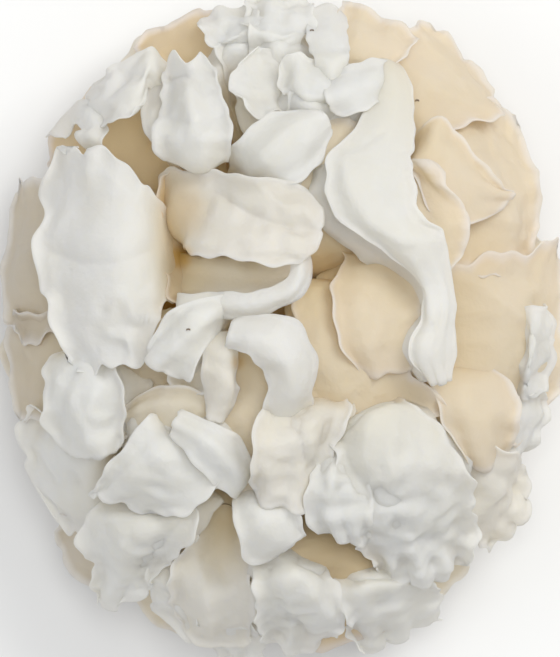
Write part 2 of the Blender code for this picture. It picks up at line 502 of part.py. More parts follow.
def sheet_mesh(name, grid, thickness, grow):
    """Closed solid: the grid's surface with the given thickness, as a mesh in metres."""
    rows, cols = grid.shape[:2]
    normal = grid_normals(grid)
    grid = grown(grid, grow)
    top = grid + normal * thickness / 2
    bottom = grid - normal * thickness / 2
    points = np.concatenate([top.reshape(-1, 3), bottom.reshape(-1, 3)]) * MM
    size = rows * cols
    faces = []
    for i in range(rows - 1):
        for j in range(cols - 1):
            a = i * cols + j
            faces.append((a, a + 1, a + cols + 1, a + cols))
            faces.append((size + a, size + a + cols, size + a + cols + 1, size + a + 1))
    rim = [j for j in range(cols)]
    rim += [i * cols + cols - 1 for i in range(1, rows)]
    rim += [(rows - 1) * cols + j for j in range(cols - 2, -1, -1)]
    rim += [i * cols for i in range(rows - 2, 0, -1)]
    for a, b in zip(rim, rim[1:] + rim[:1]):
        faces.append((b, a, size + a, size + b))
    mesh = bpy.data.meshes.new(name)
    mesh.from_pydata(points.tolist(), [], faces)
    bm = bmesh.new()
    bm.from_mesh(mesh)
    bmesh.ops.triangulate(bm, faces=bm.faces)
    bm.to_mesh(mesh)
    bm.free()
    return mesh


def add_object(name, mesh):
    """New object in the scene."""
    thing = bpy.data.objects.new(name, mesh)
    bpy.context.scene.collection.objects.link(thing)
    return thing


def boolean(thing, tool, operation, careful):
    """Mesh of the object after one Boolean, with its volume and whether it is closed."""
    step = thing.modifiers.new("cut", "BOOLEAN")
    step.operation = operation
    step.solver = "EXACT"
    step.use_self = careful
    step.object = tool
    graph = bpy.context.evaluated_depsgraph_get()
    mesh = bpy.data.meshes.new_from_object(thing.evaluated_get(graph))
    thing.modifiers.clear()
    bm = bmesh.new()
    bm.from_mesh(mesh)
    bmesh.ops.remove_doubles(bm, verts=bm.verts, dist=MERGES[0])
    closed = all(len(edge.link_faces) == 2 for edge in bm.edges)
    inside = bm.calc_volume(signed=True)
    bm.free()
    return mesh, inside, closed


def cut(thing, tools, operation):
    """Apply a Boolean with each of the tools in turn, nudging a tool where a cut fails."""
    rng = np.random.default_rng(NUDGE_SEED)
    for tool in tools:
        bm = bmesh.new()
        bm.from_mesh(thing.data)
        before = bm.calc_volume(signed=True)
        bm.free()
        for attempt in range(NUDGES):
            tool.location = rng.normal(size=3) * NUDGE * attempt * MM
            mesh, inside, closed = boolean(thing, tool, operation, attempt % 2 == 1)
            if closed and inside > before * LEAST_LEFT:
                break
        tool.location = (0, 0, 0)
        thing.data = mesh


def islands(bm):
    """The mesh's loose bits as lists of vertices, the one with most surface first."""
    groups = []
    seen = set()
    for start in bm.verts:
        if start in seen:
            continue
        group = [start]
        seen.add(start)
        for vert in group:
            for edge in vert.link_edges:
                other = edge.other_vert(vert)
                if other not in seen:
                    seen.add(other)
                    group.append(other)
        faces = {face for vert in group for face in vert.link_faces}
        groups.append((sum(face.calc_area() for face in faces), group))
    groups.sort(key=lambda entry: -entry[0])
    return [group for _, group in groups]


def is_sound(bm):
    """Whether the mesh is one closed bit with two faces at every edge."""
    return len(islands(bm)) == 1 and all(len(edge.link_faces) == 2 for edge in bm.edges)


def tidy(thing, neighbours):
    """Keep the largest loose bit, and join faces that are close to flat where that is safe.

    Neighbours are the search trees of the fronds that it must stay clear of.
    """
    for merge in MERGES:
        bm = bmesh.new()
        bm.from_mesh(thing.data)
        bmesh.ops.remove_doubles(bm, verts=bm.verts, dist=merge)
        bmesh.ops.dissolve_degenerate(bm, edges=bm.edges, dist=merge)
        loose = [vert for group in islands(bm)[1:] for vert in group]
        bmesh.ops.delete(bm, geom=loose, context="VERTS")
        bmesh.ops.triangulate(bm, faces=bm.faces)
        if is_sound(bm):
            break
    for angle in FLAT_ANGLES:
        joined = bm.copy()
        bmesh.ops.dissolve_limit(joined, angle_limit=angle, verts=joined.verts, edges=joined.edges)
        bmesh.ops.triangulate(joined, faces=joined.faces)
        ratio = joined.calc_volume(signed=True) / bm.calc_volume(signed=True)
        tree = BVHTree.FromBMesh(joined)
        clear = not any(tree.overlap(other) for other in neighbours)
        if is_sound(joined) and clear and abs(ratio - 1) < 0.03:
            bm.free()
            bm = joined
            break
        joined.free()
    bm.to_mesh(thing.data)
    tree = BVHTree.FromBMesh(bm)
    bm.free()
    return tree


def overlaps(a, b):
    """Whether the boxes of two objects meet."""
    first = np.array([vert.co[:] for vert in a.data.vertices])
    second = np.array([vert.co[:] for vert in b.data.vertices])
    low = np.maximum(first.min(axis=0), second.min(axis=0))
    high = np.minimum(first.max(axis=0), second.max(axis=0))
    return bool(np.all(low < high))


def frond_solid(name, lobes, grow, seed):
    """One frond as an object: the union of its lobes, grown on all sides."""
    root = root_of(lobes)
    arms = []
    for number, lobe in enumerate(lobes):
        across, along = lobe_steps(lobe, root)
        start = root - (root - CORE_CENTRE) * 0.03 * number
        grid = lobe_grid(lobe, start, across, along, seed + 100 * number)
        thickness = THICKNESS * (1 + 0.04 * number) + 2 * grow
        arms.append(add_object(name, sheet_mesh(name, grid, thickness, grow)))
    if len(arms) > 1:
        cut(arms[0], arms[1:], "UNION")
    for arm in arms[1:]:
        bpy.data.objects.remove(arm)
    return arms[0]


def foot_mesh(name, grow):
    """The foot: a lumpy dome, cut flat where it rests."""
    bm = bmesh.new()
    bmesh.ops.create_uvsphere(bm, u_segments=CORE_SEGMENTS, v_segments=CORE_RINGS, radius=1)
    for vert in bm.verts:
        x, y, z = vert.co
        turn = math.atan2(y, x)
        lump = 1 + CORE_LUMP / 18 * (math.sin(3 * turn + 1) + math.sin(7 * turn) * 0.5) * (1 - z * z)
        size = CORE_HALF * lump + grow
        vert.co = (CORE_CENTRE + np.array([x, y, z]) * size) * MM
    floor = -grow * MM
    everything = bm.verts[:] + bm.edges[:] + bm.faces[:]
    result = bmesh.ops.bisect_plane(bm, geom=everything, plane_co=(0, 0, floor), plane_no=(0, 0, -1),
                                    clear_outer=True)
    rim = [item for item in result["geom_cut"] if isinstance(item, bmesh.types.BMEdge)]
    bmesh.ops.contextual_create(bm, geom=rim)
    bmesh.ops.triangulate(bm, faces=bm.faces)
    bmesh.ops.recalc_face_normals(bm, faces=bm.faces)
    mesh = bpy.data.meshes.new(name)
    bm.to_mesh(mesh)
    bm.free()
    return mesh


def skirt_lobes():
    """Fronds below the rim: a ring of lobes that hang outward and down from the foot."""
    rng = np.random.default_rng(SKIRT_SEED)
    fronds = {}
    for number in range(SKIRT_COUNT):
        angle = 2 * math.pi * (number + rng.uniform(-0.2, 0.2)) / SKIRT_COUNT
        half = rng.uniform(0.27, 0.33)
        drop = rng.uniform(-1.5, 1.0)
        tier = SKIRT_TIERS[number % len(SKIRT_TIERS)]
        ribs = []
        for out, spread, z in tier:
            rib = []
            for side in (-1, 0, 1):
                x = DOME_HALF_X * out * math.cos(angle + side * half * spread)
                y = DOME_HALF_Y * out * math.sin(angle + side * half * spread)
                level = z + drop - 2.5 * abs(side)
                rib.append((x, y, level - dome_z(x, y)))
            ribs.append(rib)
        fronds[f"skirt_frond_{number + 1:02d}"] = [Lobe(ribs, (0.8, 2.0), (0.3, 1, 0.0))]
    return fronds


def paint(thing, name, colour, roughness, subsurface):
    """Give the object a plain Principled material of its own."""
    material = bpy.data.materials.new(name)
    material.use_nodes = True
    shader = material.node_tree.nodes["Principled BSDF"]
    shader.inputs["Base Color"].default_value = (*colour, 1)
    shader.inputs["Roughness"].default_value = roughness
    shader.inputs["Subsurface Weight"].default_value = subsurface
    thing.data.materials.clear()
    thing.data.materials.append(material)


def main():
    """Build the foot, then every frond, each cut clear of those before it."""
    for thing in list(bpy.data.objects):
        bpy.data.objects.remove(thing)
    foot = add_object("foot", foot_mesh("foot", 0.0))
    paint(foot, "amber_flesh", (0.55, 0.34, 0.12), 0.6, 0.1)
    cutters = [add_object("clear", foot_mesh("clear", CLEARANCE))]
    fronds = dict(FRONDS)
    fronds.update(skirt_lobes())
    names = list(fronds)
    trees = []
    for number, (name, lobes) in enumerate(fronds.items()):
        frond = frond_solid(name, lobes, 0.0, number)
        near = [tool for tool in cutters if overlaps(frond, tool)]
        cut(frond, near, "DIFFERENCE")
        tree = tidy(frond, trees)
        for extra in EXTRA_CLEARANCES:
            touched = [k for k, other in enumerate(trees) if tree.overlap(other)]
            if not touched:
                break
            wider = [frond_solid("clear", fronds[names[k]], extra, k) for k in touched]
            cut(frond, wider, "DIFFERENCE")
            tree = tidy(frond, trees)
            for tool in wider:
                bpy.data.objects.remove(tool)
        trees.append(tree)
        paint(frond, name + "_ivory", (0.86, 0.81, 0.7), 0.55, 0.2)
        cutters.append(frond_solid("clear", lobes, CLEARANCE, number))
    for tool in cutters:
        bpy.data.objects.remove(tool)


main()
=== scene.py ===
"""Looks of the snow fungus: a dried head of thin ruffled fronds, seen from above.

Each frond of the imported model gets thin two-sided sheets with wavy margins, in the same place
and of nearly the same loft as its solid. Lengths are in millimetres until a mesh is made.
"""
import math
from collections import namedtuple

import bpy
import numpy as np
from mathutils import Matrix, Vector
from mathutils.bvhtree import BVHTree


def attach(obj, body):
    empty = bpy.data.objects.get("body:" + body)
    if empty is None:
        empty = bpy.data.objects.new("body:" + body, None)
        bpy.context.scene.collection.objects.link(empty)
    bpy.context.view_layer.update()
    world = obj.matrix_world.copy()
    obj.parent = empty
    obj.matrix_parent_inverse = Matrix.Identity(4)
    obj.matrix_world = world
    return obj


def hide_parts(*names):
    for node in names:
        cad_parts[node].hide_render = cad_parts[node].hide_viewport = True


MM = 0.001

# The head is a flattened dome. A rib's third number is its height above or below it.
DOME_HALF_X = 50.0
DOME_HALF_Y = 59.0
DOME_RIM_Z = 14.0
DOME_RISE = 42.0

# How much of a rib's bow and of the last rib's drop is kept, and how far a frond reaches
# past its visible margins, under or up to its neighbours.
BOW_KEPT = 0.6
TIP_DROP_KEPT = 0.6
REACH = 0.9

# The foot that all fronds grow from.
CORE_CENTRE = np.array([0.0, 0.0, 9.0])
CORE_HALF = np.array([18.0, 21.0, 17.0])

# A frond starts just inside the foot, this wide.
ROOT_DEPTH = 0.97
ROOT_WIDTH = 6.0

# The ring of plain fronds that hangs below the rim, out of the photograph. Each is shifted
# round by up to a share of its pitch, has a half width in radians, hangs lower or higher, and
# droops at its margins.
SKIRT_COUNT = 12
SKIRT_SEED = 41
SKIRT_SHIFT = 0.2
SKIRT_HALF = (0.27, 0.33)
SKIRT_DROP = (-1.5, 1.0)
SKIRT_DROOP = 2.5

# Ribs of an upper and a lower frond of the ring: share of the way out to the rim, share of
# its width, and height.
SKIRT_TIERS = [
    [(0.5, 0.7, 12.5), (0.74, 1.0, 18.0), (0.94, 0.8, 13.0)],
    [(0.45, 0.7, 7.0), (0.66, 1.0, 10.5), (0.86, 0.8, 7.0)],
]

# Thickness of the sheets at the middle and at the margin, the width of their facets, and the
# least and most facets across and along one.
SHEET_MIDDLE = 0.5
SHEET_MARGIN = 0.2
FINE_STEP = 0.62
ACROSS_LIMITS = (12, 64)
ALONG_LIMITS = (24, 110)

# A frond is a fold of two layers. The under layer lies this deep at the middle and at the
# margins, and this much deeper at the tip. It is this much wider, has this share of the upper
# one's fineness, and is less crumpled.
UNDER_MIDDLE = 1.6
UNDER_MARGIN = 4.8
UNDER_TIP = 2.5
UNDER_WIDER = 1.3
UNDER_FINENESS = 0.55
UNDER_CRUMPLE = 0.1

# The lobes of one frond start this share of the way further in, each after the other.
ARM_STEP = 0.03

# Sizes of the noise that bends a sheet: wavelength and height of each layer. Folds have
# sharp crests, and pleats run from the root to the margin, so theirs has two wavelengths.
SWELL = (12.0, 1.3)
FOLD = (9.0, 2.0)
PUCKER = (4.2, 1.3)
CREASE = (2.1, 0.32)
PLEAT = (2.6, 14.0, 0.4)
MARGIN_WAVE = (5.0, 0.9)
MARGIN_CURL = 2.4
MARGIN_NOTCH = (3.4, 0.6)
NOISE_CELLS = 32
CREST_LEVEL = 0.3
CREST_SHARE = 1.6

# Steps between the seeds of a frond's lobes, and from an upper to an under layer.
ARM_SEED = 100
UNDER_SEED = 50

# A bend goes partly up and partly along the normals, which are averaged this many times. It
# begins some way out from the root, and shrinks with a lobe that is narrower than this.
UP = np.array([0.0, 0.0, 1.0])
SMOOTHING = 8
FREE_SLOPE = 1.6
FREE_START = -0.35
FULL_WIDTH = 15.0
LEAST_BEND = 0.15
NARROW_POWER = 1.4
LEAST_ROUGH = 0.25

# A sheet's margins lie this share of the way out to those of its loft, times a frond's own
# share, and sway by a share of the width at so many radians to the millimetre.
SPREAD = 0.96
NARROWER = {"centre_scroll": 0.72, "left_great_frond": 0.97}
SLOW_SWAY = (0.05, 0.55)
QUICK_SWAY = (0.03, 1.3)

# How square the corners of a tip are, and how ragged its margin is.
TIP_CORNER = 2.2
TIP_RAGGED = 0.03

# Shares kept of the notches of the margins, for the named fronds, and of those between points.
CALMER = {"left_great_frond": 0.4, "centre_frond": 0.6, "ribbon_frond": 0.7}
NOTCH_KEPT = 0.7

Lobe = namedtuple("Lobe", "ribs wave tip", defaults=((0.5, 2), (0.2, 1, 0)))

# Each entry is a frond's name and its lobes. A lobe has its ribs from the root side out,
# then the height and count of the ripples on its margins, then its tip: how round it is,
# its count of points, and how deep the notches between them are, both for a tip 1 wide. A
# rib's three points, left, middle and right, are on the plan, with height from the dome.
FRONDS = {
    "left_great_frond": [Lobe([
        ((-20, 20, -8), (-19.5, 13, -7), (-18, 5, -10)),
        ((-25, 26.5, -2), (-25.5, 12, 1.5), (-23, -5, -4)),
        ((-31, 30, -2), (-33, 12, 3), (-30, -7.5, -4)),
        ((-39.5, 29, -5), (-40, 11, -1), (-37, -5, -6)),
    ], (0.7, 2.5))],
    "ribbon_frond": [Lobe([
        ((13, 41, -12), (15, 41, -13), (17, 41, -12)),
        ((15.5, 44.3, -4), (18, 44.8, 0), (19.8, 43.8, -2)),
        ((15.5, 38, -3), (18.8, 37.5, 1.5), (21.8, 37, -0.5)),
        ((12, 31.5, -1), (16.5, 31.5, 3), (21.6, 30.5, 1)),
        ((8.8, 29, 0), (15, 28.8, 3.5), (21.3, 28, 1)),
        ((8, 25, 0), (14.5, 25, 4.5), (20.8, 24.5, 1.5)),
        ((10.5, 18.5, -2), (16.5, 19, 4), (22.5, 18.5, 2)),
        ((17, 14, -3), (21.5, 14.3, 3), (25.6, 15.5, 2)),
        ((24, 8, -4), (26, 8, 2), (27.4, 8, 0)),
        ((24.6, 2, -3), (26.7, 2, 2), (28.3, 2, 0)),
        ((21.5, -3.5, -1), (25, -3.5, 2), (28, -3, -1)),
        ((25.8, -9.3, -1), (26.5, -9.6, 0), (27.2, -9.2, -1)),
    ], (0.3, 3), (0.05, 1, 0)), Lobe([
        ((18, 42, -5), (17, 39, -4), (16, 37, -7)),
        ((13, 43, -2), (12.5, 39.8, 3), (13, 36.5, -2)),
        ((8, 40.5, -3), (7.3, 38, 1), (8.3, 35.8, -3)),
    ], (0.3, 1.5), (0.3, 1, 0))],
    "centre_frond": [Lobe([
        ((-20, 24, -12), (-18.5, 17, -10), (-16, 14, -12)),
        ((-13.5, 26, -5), (-12, 19, -2), (-13.5, 12.6, -2)),
        ((-6, 24, -3), (-5, 18, 2), (-6, 11.8, 1)),
        ((1.5, 23, -3), (1.5, 17.5, 3), (1, 11.6, 1.5)),
        ((6, 19.5, -4), (6.8, 16, -1), (5, 12, 0)),
    ], (0.5, 2), (0.3, 1, 0))],
    "centre_scroll": [Lobe([
        ((-18, 12, -13), (-18, 9, -17), (-18, 5, -11)),
        ((-10, 12, -9), (-10, 8, -11), (-11, 4.5, -4)),
        ((-3, 12, -8), (-3, 8, -10), (-4, 4.5, -2)),
        ((2.5, 13, -6), (2.5, 9, -6), (1.5, 6, -2)),
    ], (0.2, 2), (0.3, 1, 0)), Lobe([
        ((-17, 6, -9), (-17, 3.5, -4), (-17, 1, -8)),
        ((-10, 5.8, -3), (-10, 3.8, 0), (-10, 1.5, -5)),
        ((-4, 6, -1), (-4, 4.2, 2), (-4, 1.6, -4)),
        ((0.2, 7.8, -1), (1.5, 6.2, 3), (2.8, 4.6, -3)),
        ((1.8, 10.6, -1), (3.4, 10.2, 3), (4.9, 9.8, -3)),
        ((0.6, 13.6, -2), (1.9, 14.8, 1), (3.3, 16, -3)),
    ], (0.2, 2), (0.3, 1, 0))],
    "two_point_frond": [Lobe([
        ((-17, 30, -13), (-13.5, 29, -13), (-10.5, 30, -13)),
        ((-18.5, 28.3, -5), (-13.5, 26, -2.5), (-9.3, 27.5, -5)),
        ((-20.3, 32, -3), (-14.5, 31, 3), (-8.8, 32, -2)),
        ((-19.3, 37, -4), (-14.5, 37, 3), (-9.8, 37, -2.5)),
        ((-19, 41.5, -6), (-15, 42, 0.5), (-11.3, 41.5, -4)),
        ((-18.8, 46.2, -5), (-15.5, 46.5, -2), (-12, 45.8, -4)),
    ], (0.3, 1.5), (0.1, 2, 0.6)), Lobe([
        ((-19, 29, -9), (-18, 28.5, -8), (-17, 28, -9)),
        ((-21.8, 33, -5), (-20.7, 33, -3), (-19.8, 33, -5)),
        ((-21.8, 38, -5), (-20.7, 38.3, -4), (-19.8, 38, -6)),
        ((-20.8, 42.5, -8), (-20.2, 42.5, -7), (-19.6, 42.5, -8)),
    ], (0.2, 1))],
    "leaf_frond": [Lobe([
        ((-8, 26, -9), (-5, 24, -9), (-3, 22, -10)),
        ((-6, 31, -2), (-2, 27.5, 2), (1, 24, -3)),
        ((-2, 34.3, -2), (2.5, 31, 3), (5.5, 28, -2)),
        ((5, 35.2, -1), (6.8, 34.3, 0), (8, 33, -1)),
    ], (0.3, 1.5), (0.15, 1, 0))],
    "hook_frond": [Lobe([
        ((-5, -16.5, -11), (-1, -17, -8), (3, -15, -11)),
        ((-2, -13, -3), (1.5, -12, 1), (4.8, -10.5, -4)),
        ((-1.5, -7.5, -1), (2, -6, 4), (5, -4.5, -3)),
        ((-4, -4, 1), (-1.5, -1.5, 5), (1, 1, -2)),
        ((-9, -2.4, -1), (-8.6, -0.8, 1), (-8, 0.4, -2)),
    ], (0.3, 2), (0.1, 1, 0))],
    "lower_great_frond": [Lobe([
        ((8, -17, -10), (13, -14, -8), (18, -12, -10)),
        ((9, -19.5, -3), (15.5, -14.5, 2.5), (22.5, -13, -3)),
        ((10.5, -26, 0), (19, -22.5, 5.5), (29, -21, -1)),
        ((13, -32.5, -1), (22, -30.5, 5), (32.3, -29, -2)),
        ((14.5, -38, -5), (23.5, -38, 1), (32, -36, -6)),
        ((18, -41.5, -11), (24.5, -42.5, -7), (29, -41, -12)),
    ], (0.9, 3.5), (0.25, 1, 0)), Lobe([
        ((7, -20, -6), (10, -19, -4), (13, -20, -6)),
        ((5.3, -25, -2), (9.5, -25, 4), (14, -25, 1)),
        ((5, -30, -3), (9.5, -30.5, 4), (14.5, -31, 1)),
        ((8, -34.5, -5), (11.3, -36, -1), (14, -36.5, -4)),
    ], (0.8, 2.5), (0.3, 1, 0))],
    "lower_middle_frond": [Lobe([
        ((0, -12, -10), (5, -11, -8), (10, -11, -10)),
        ((-2.5, -16, -3), (4, -16, 2.5), (10.5, -16, -3)),
        ((-3.9, -22, -2), (2.5, -22.5, 3), (8, -23, -3)),
        ((-3, -29, -6), (1, -30, -1), (5.5, -29.5, -6)),
    ], (0.7, 2.5))],
    "lower_left_frond": [Lobe([
        ((-17, -15, -10), (-13, -18, -8), (-9, -22, -10)),
        ((-22, -16, -3), (-17, -20, 1.5), (-11, -26, -3)),
        ((-27, -22.5, -2), (-22, -24.5, 3), (-16, -29.5, -2)),
        ((-31, -28, -6), (-28, -28.3, -3), (-24, -30, -4)),
    ], (0.5, 2.5)), Lobe([
        ((-6, -26.3, -7), (-5, -24.5, -5), (-4, -22.5, -8)),
        ((-10, -25, -2), (-8.5, -22, 2), (-7.5, -19, -4)),
        ((-13.5, -21.5, 0), (-12, -18.8, 3), (-11, -16.3, -3)),
        ((-18, -17, -1), (-17.5, -15.8, 0), (-17, -14.6, -2)),
    ], (0.3, 2), (0.1, 1, 0))],
    "lower_left_low_frond": [Lobe([
        ((-28, -28.5, -8), (-21, -28.5, -6), (-13.5, -28, -8)),
        ((-32.3, -33, -4), (-23.5, -33.5, 2), (-14.3, -33, -3)),
        ((-31.3, -38.5, -4), (-25, -39, 1.5), (-18, -38.8, -4)),
        ((-29, -46, -8), (-27.5, -46, -6), (-24, -43.5, -8)),
    ], (0.4, 2), (0.1, 1, 0))],
    "middle_left_frond": [Lobe([
        ((-8, 4.5, -5), (-9, 2, -4), (-10, 0, -6)),
        ((-12.5, 4.2, -1), (-13, 1.5, 2.5), (-13, -2.5, -1)),
        ((-17.5, 2, -1), (-16.5, -1.5, 2.5), (-15, -7, -1)),
        ((-22, -5, -2), (-20.5, -6.5, 0), (-17.5, -8, -3)),
    ], (0.5, 2), (0.15, 1, 0))],
    "middle_right_frond": [Lobe([
        ((-10.5, -1, -4), (-8.5, -1, -2), (-7, -2, -5)),
        ((-12, -6, 0), (-9, -7, 2), (-7.7, -8, -2)),
        ((-12, -10, -1), (-9, -11, 1.5), (-8, -11, -3)),
        ((-12, -15, -3), (-11, -16, -2), (-10, -15.5, -4)),
    ], (0.4, 2)), Lobe([
        ((-17, -5, -6), (-14, -4, -8), (-12, -4, -5)),
        ((-17.5, -9, -4), (-14.5, -9, -6), (-12, -8, -1)),
        ((-16, -11.5, -3), (-13.5, -11.5, -2), (-12, -11, -1)),
    ], (0.3, 2))],
    "middle_low_frond": [Lobe([
        ((-10, -12, -6), (-11, -14, -6), (-12, -17, -8)),
        ((-15.5, -10.5, -4), (-16.5, -13, -2), (-17.5, -16.5, -5)),
        ((-21, -10.5, -5), (-22, -13.3, -3), (-22, -16.5, -6)),
        ((-26.5, -14.3, -6), (-26.3, -15.2, -5), (-25, -16.5, -7)),
    ], (0.4, 2), (0.15, 1, 0))],
    "small_pointed_frond": [Lobe([
        ((-6.5, -27, -6), (-4.5, -26.5, -5), (-3, -27, -7)),
        ((-6.3, -33, -1), (-3, -31.5, 3), (0.5, -30, -2)),
        ((-4.5, -38, -1), (-1, -35, 3), (2.5, -32, -1)),
        ((-1, -37.8, -2), (1.5, -36, 0), (3.6, -34.6, -1)),
    ], (0.2, 1.5), (0.05, 1, 0))],
    "bottom_cup_frond": [Lobe([
        ((-12, -27, -8), (-9, -26.5, -15), (-6, -28, -9)),
        ((-14, -32, -4), (-9.5, -33, -12), (-6, -33, -7)),
        ((-17, -39, -3), (-10.5, -40, -8), (-5.5, -40, -4)),
        ((-18, -44, -6), (-11, -46, -2), (-5, -46, -4)),
        ((-15.5, -51, -10), (-11, -53, -8), (-6, -53, -10)),
    ])],
    "bottom_middle_frond": [Lobe([
        ((-3.5, -38, -8), (1, -37, -6), (6, -38, -9)),
        ((-3.3, -43, -1), (2.5, -42, 3), (9, -43, -4)),
        ((-3.3, -48, -3), (3.5, -48, 2), (9.5, -49, -6)),
        ((-2, -53, -10), (2.5, -55, -8), (7, -53, -11)),
    ], (0.7, 2.5))],
    "left_middle_frond": [Lobe([
        ((-36, -4, -9), (-32, -3, -8), (-27, -4, -10)),
        ((-38, -10, -4), (-32.5, -9, 1), (-27, -9, -4)),
        ((-37.5, -16, -4), (-32, -15.5, 1.5), (-26.5, -15.5, -4)),
        ((-33.5, -21.3, -6), (-30.5, -21.3, -4), (-27, -21, -7)),
    ], (0.4, 2), (0.3, 1, 0))],
    "right_strand_frond": [Lobe([
        ((24, 33, -6), (23, 30, -5), (20.5, 26, -8)),
        ((29, 31.8, -3), (27, 28.5, -1), (23.5, 23, -6)),
        ((32.5, 27.5, -2), (30, 25, -1), (26, 19, -6)),
        ((36, 23.3, -2), (35, 22.3, -2), (31, 18, -6)),
        ((39.2, 22.3, -3), (39, 21.8, -3), (38, 21, -4)),
    ], (0.3, 2), (0.1, 1, 0)), Lobe([
        ((20, 27, -8), (19.5, 18, -9), (21, 10, -9)),
        ((23, 28, -3), (25, 18.5, -3), (25, 9, -5)),
        ((25.5, 25.5, -1), (29.3, 18.5, 0), (29, 10, -3)),
        ((27.8, 23.5, -1), (30.6, 17.5, -1), (30.6, 11, -3)),
    ], (0.4, 2))],
    "right_lower_petal": [Lobe([
        ((24, -8, -10), (28, -7, -9), (33, -6, -11)),
        ((27.5, -15, -6), (32, -13.5, -2), (38, -12.5, -6)),
        ((30.5, -20.5, -4), (33.5, -20.5, -1), (38, -18.5, -6)),
        ((32.5, -23, -6), (34, -23.5, -4), (36, -22.5, -7)),
    ], (0.3, 1.5))],
    "right_rim_frond": [Lobe([
        ((39, 2, -9), (39, -4, -9), (38, -10, -11)),
        ((42.5, 2.5, -4), (42, -4, -1), (41, -10.5, -6)),
        ((46, 2, -8), (45.5, -3.5, -6), (43.5, -9.5, -10)),
    ], (0.7, 2.5)), Lobe([
        ((37, -11, -10), (36.5, -15, -10), (36, -19, -12)),
        ((42, -11, -6), (41.5, -15.5, -4), (40, -20, -8)),
        ((44.5, -12, -10), (44, -16, -9), (42, -20, -12)),
    ], (0.6, 2))],
    "top_middle_frond": [Lobe([
        ((1, 43, -6), (1, 38, -7), (0, 35, -8)),
        ((-4, 46, -2), (-4, 40, -3), (-3, 35, -3)),
        ((-7, 44.5, 0), (-8.6, 40.5, 1), (-6.5, 35.5, -1)),
    ]), Lobe([
        ((2, 36, -5), (6, 35, -2), (10, 36, -5)),
        ((0.5, 40, -1), (5.5, 40, 3), (11, 40, -2)),
        ((0, 45, -2), (5, 45.5, 1), (11, 44.5, -3)),
    ], (0.9, 2.5))],
    "top_left_frond": [Lobe([
        ((-9, 44, -6), (-5, 46, -5), (-1, 48, -8)),
        ((-11.5, 48, -2), (-8, 49.5, 1), (-4, 52, -4)),
        ((-13.5, 52, -6), (-11, 53.5, -5), (-7, 55, -9)),
    ], (0.6, 2)), Lobe([
        ((-4, 46, -5), (0, 45, -3), (4, 46, -6)),
        ((-5.5, 51, -3), (-0.5, 51, 1), (4.8, 51, -4)),
        ((-5, 55.5, -10), (-0.5, 56.5, -9), (4, 55.5, -11)),
    ], (0.9, 2.5), (0.3, 2, 0.15))],
    "top_strand_frond": [Lobe([
        ((6.5, 41, -3), (8.5, 40.5, 0), (10.5, 41.5, -3)),
        ((5.5, 47, -2), (8, 47, 1), (10.5, 47, -2)),
        ((5, 53, -7), (7.5, 54.5, -6), (10, 53, -8)),
    ], (0.3, 1.5))],
    "upper_left_frond": [Lobe([
        ((-19.5, 44.5, -6), (-20, 42, -5), (-21, 40, -8)),
        ((-24.5, 44.3, -3), (-24, 40.5, 1), (-24.5, 35.5, -3)),
        ((-29, 42, -5), (-29.5, 38.5, -1), (-28.5, 34.8, -4)),
        ((-32.5, 39, -8), (-33, 37, -6), (-32, 35, -7)),
    ], (0.6, 2.5)), Lobe([
        ((-29, 29, -7), (-30.2, 29.5, -5), (-31.4, 30, -7)),
        ((-29.8, 34, -3), (-31, 34, -1), (-32.2, 33.6, -3)),
        ((-33.5, 38, -4), (-34, 36.6, -2), (-34.4, 35.2, -4)),
        ((-38.5, 32, -8), (-37.4, 32, -7), (-36.3, 32, -8)),
    ], (0.1, 1), (0.1, 1, 0))],
    "lower_left_rim_frond": [Lobe([
        ((-28, -20, -8), (-28, -27, -9), (-27, -33, -10)),
        ((-34, -17.5, -5), (-34.5, -26, -4), (-32, -35, -8)),
        ((-39.5, -14.5, -5), (-39.5, -23, -4), (-36, -33.5, -9)),
        ((-43.5, -13, -8), (-42.8, -20.5, -8), (-39, -29, -11)),
    ], (0.6, 2.5))],
    "bottom_right_frond": [Lobe([
        ((9, -40, -9), (15, -39, -8), (22, -40, -10)),
        ((10.5, -45.5, -4), (17, -43.5, 0), (26, -43.5, -6)),
        ((12, -51, -7), (18.5, -49, -4), (26, -46.5, -10)),
        ((13, -54, -13), (19, -52, -12), (24.5, -49.5, -14)),
    ], (0.9, 3))],
    "bottom_edge_frond": [Lobe([
        ((-13, -45, -8), (-9, -46, -7), (-5, -46, -9)),
        ((-13, -50, -5), (-8.5, -51, -3), (-4, -51, -7)),
        ((-10.5, -55, -11), (-7, -56.5, -11), (-3, -56, -12)),
    ], (0.7, 2.5)), Lobe([
        ((-20, -38, -9), (-17, -40, -8), (-14, -42, -10)),
        ((-21, -44, -6), (-17.5, -46, -4), (-14, -48, -8)),
        ((-20, -48, -10), (-16, -51, -10), (-12, -53, -12)),
    ])],
    "right_lower_frond": [Lobe([
        ((27, -16, -12), (25, -22, -12), (26, -30, -13)),
        ((34, -19, -6), (33, -25.5, -4), (31, -34, -7)),
        ((39.5, -22, -5), (38, -28.5, -3), (34, -36.5, -8)),
        ((41.5, -26, -10), (40, -31, -9), (36.5, -36, -12)),
    ], (0.9, 3))],
    "centre_right_frond": [Lobe([
        ((11, 13, -12), (16, 13, -10), (22, 12, -10)),
        ((9.3, 6, -8), (15, 5, -4), (23, 4, -6)),
        ((9.5, -0.5, -6), (16, -1, -3), (23.5, -2, -5)),
        ((13, -6, -6), (17, -6.5, -3), (21.5, -6.5, -5)),
        ((15, -8.8, -6), (17, -8, -5), (19.5, -7, -6)),
    ], (0.3, 2), (0.1, 1, 0))],
    "centre_low_frond": [Lobe([
        ((3, 8, -13), (8, 8, -12), (14, 8, -13)),
        ((3.5, 1, -8), (9, 0, -6), (16, -1, -9)),
        ((3, -6, -6), (10, -7, -5), (20, -7, -8)),
        ((4, -12, -7), (13, -13, -6), (26, -12, -8)),
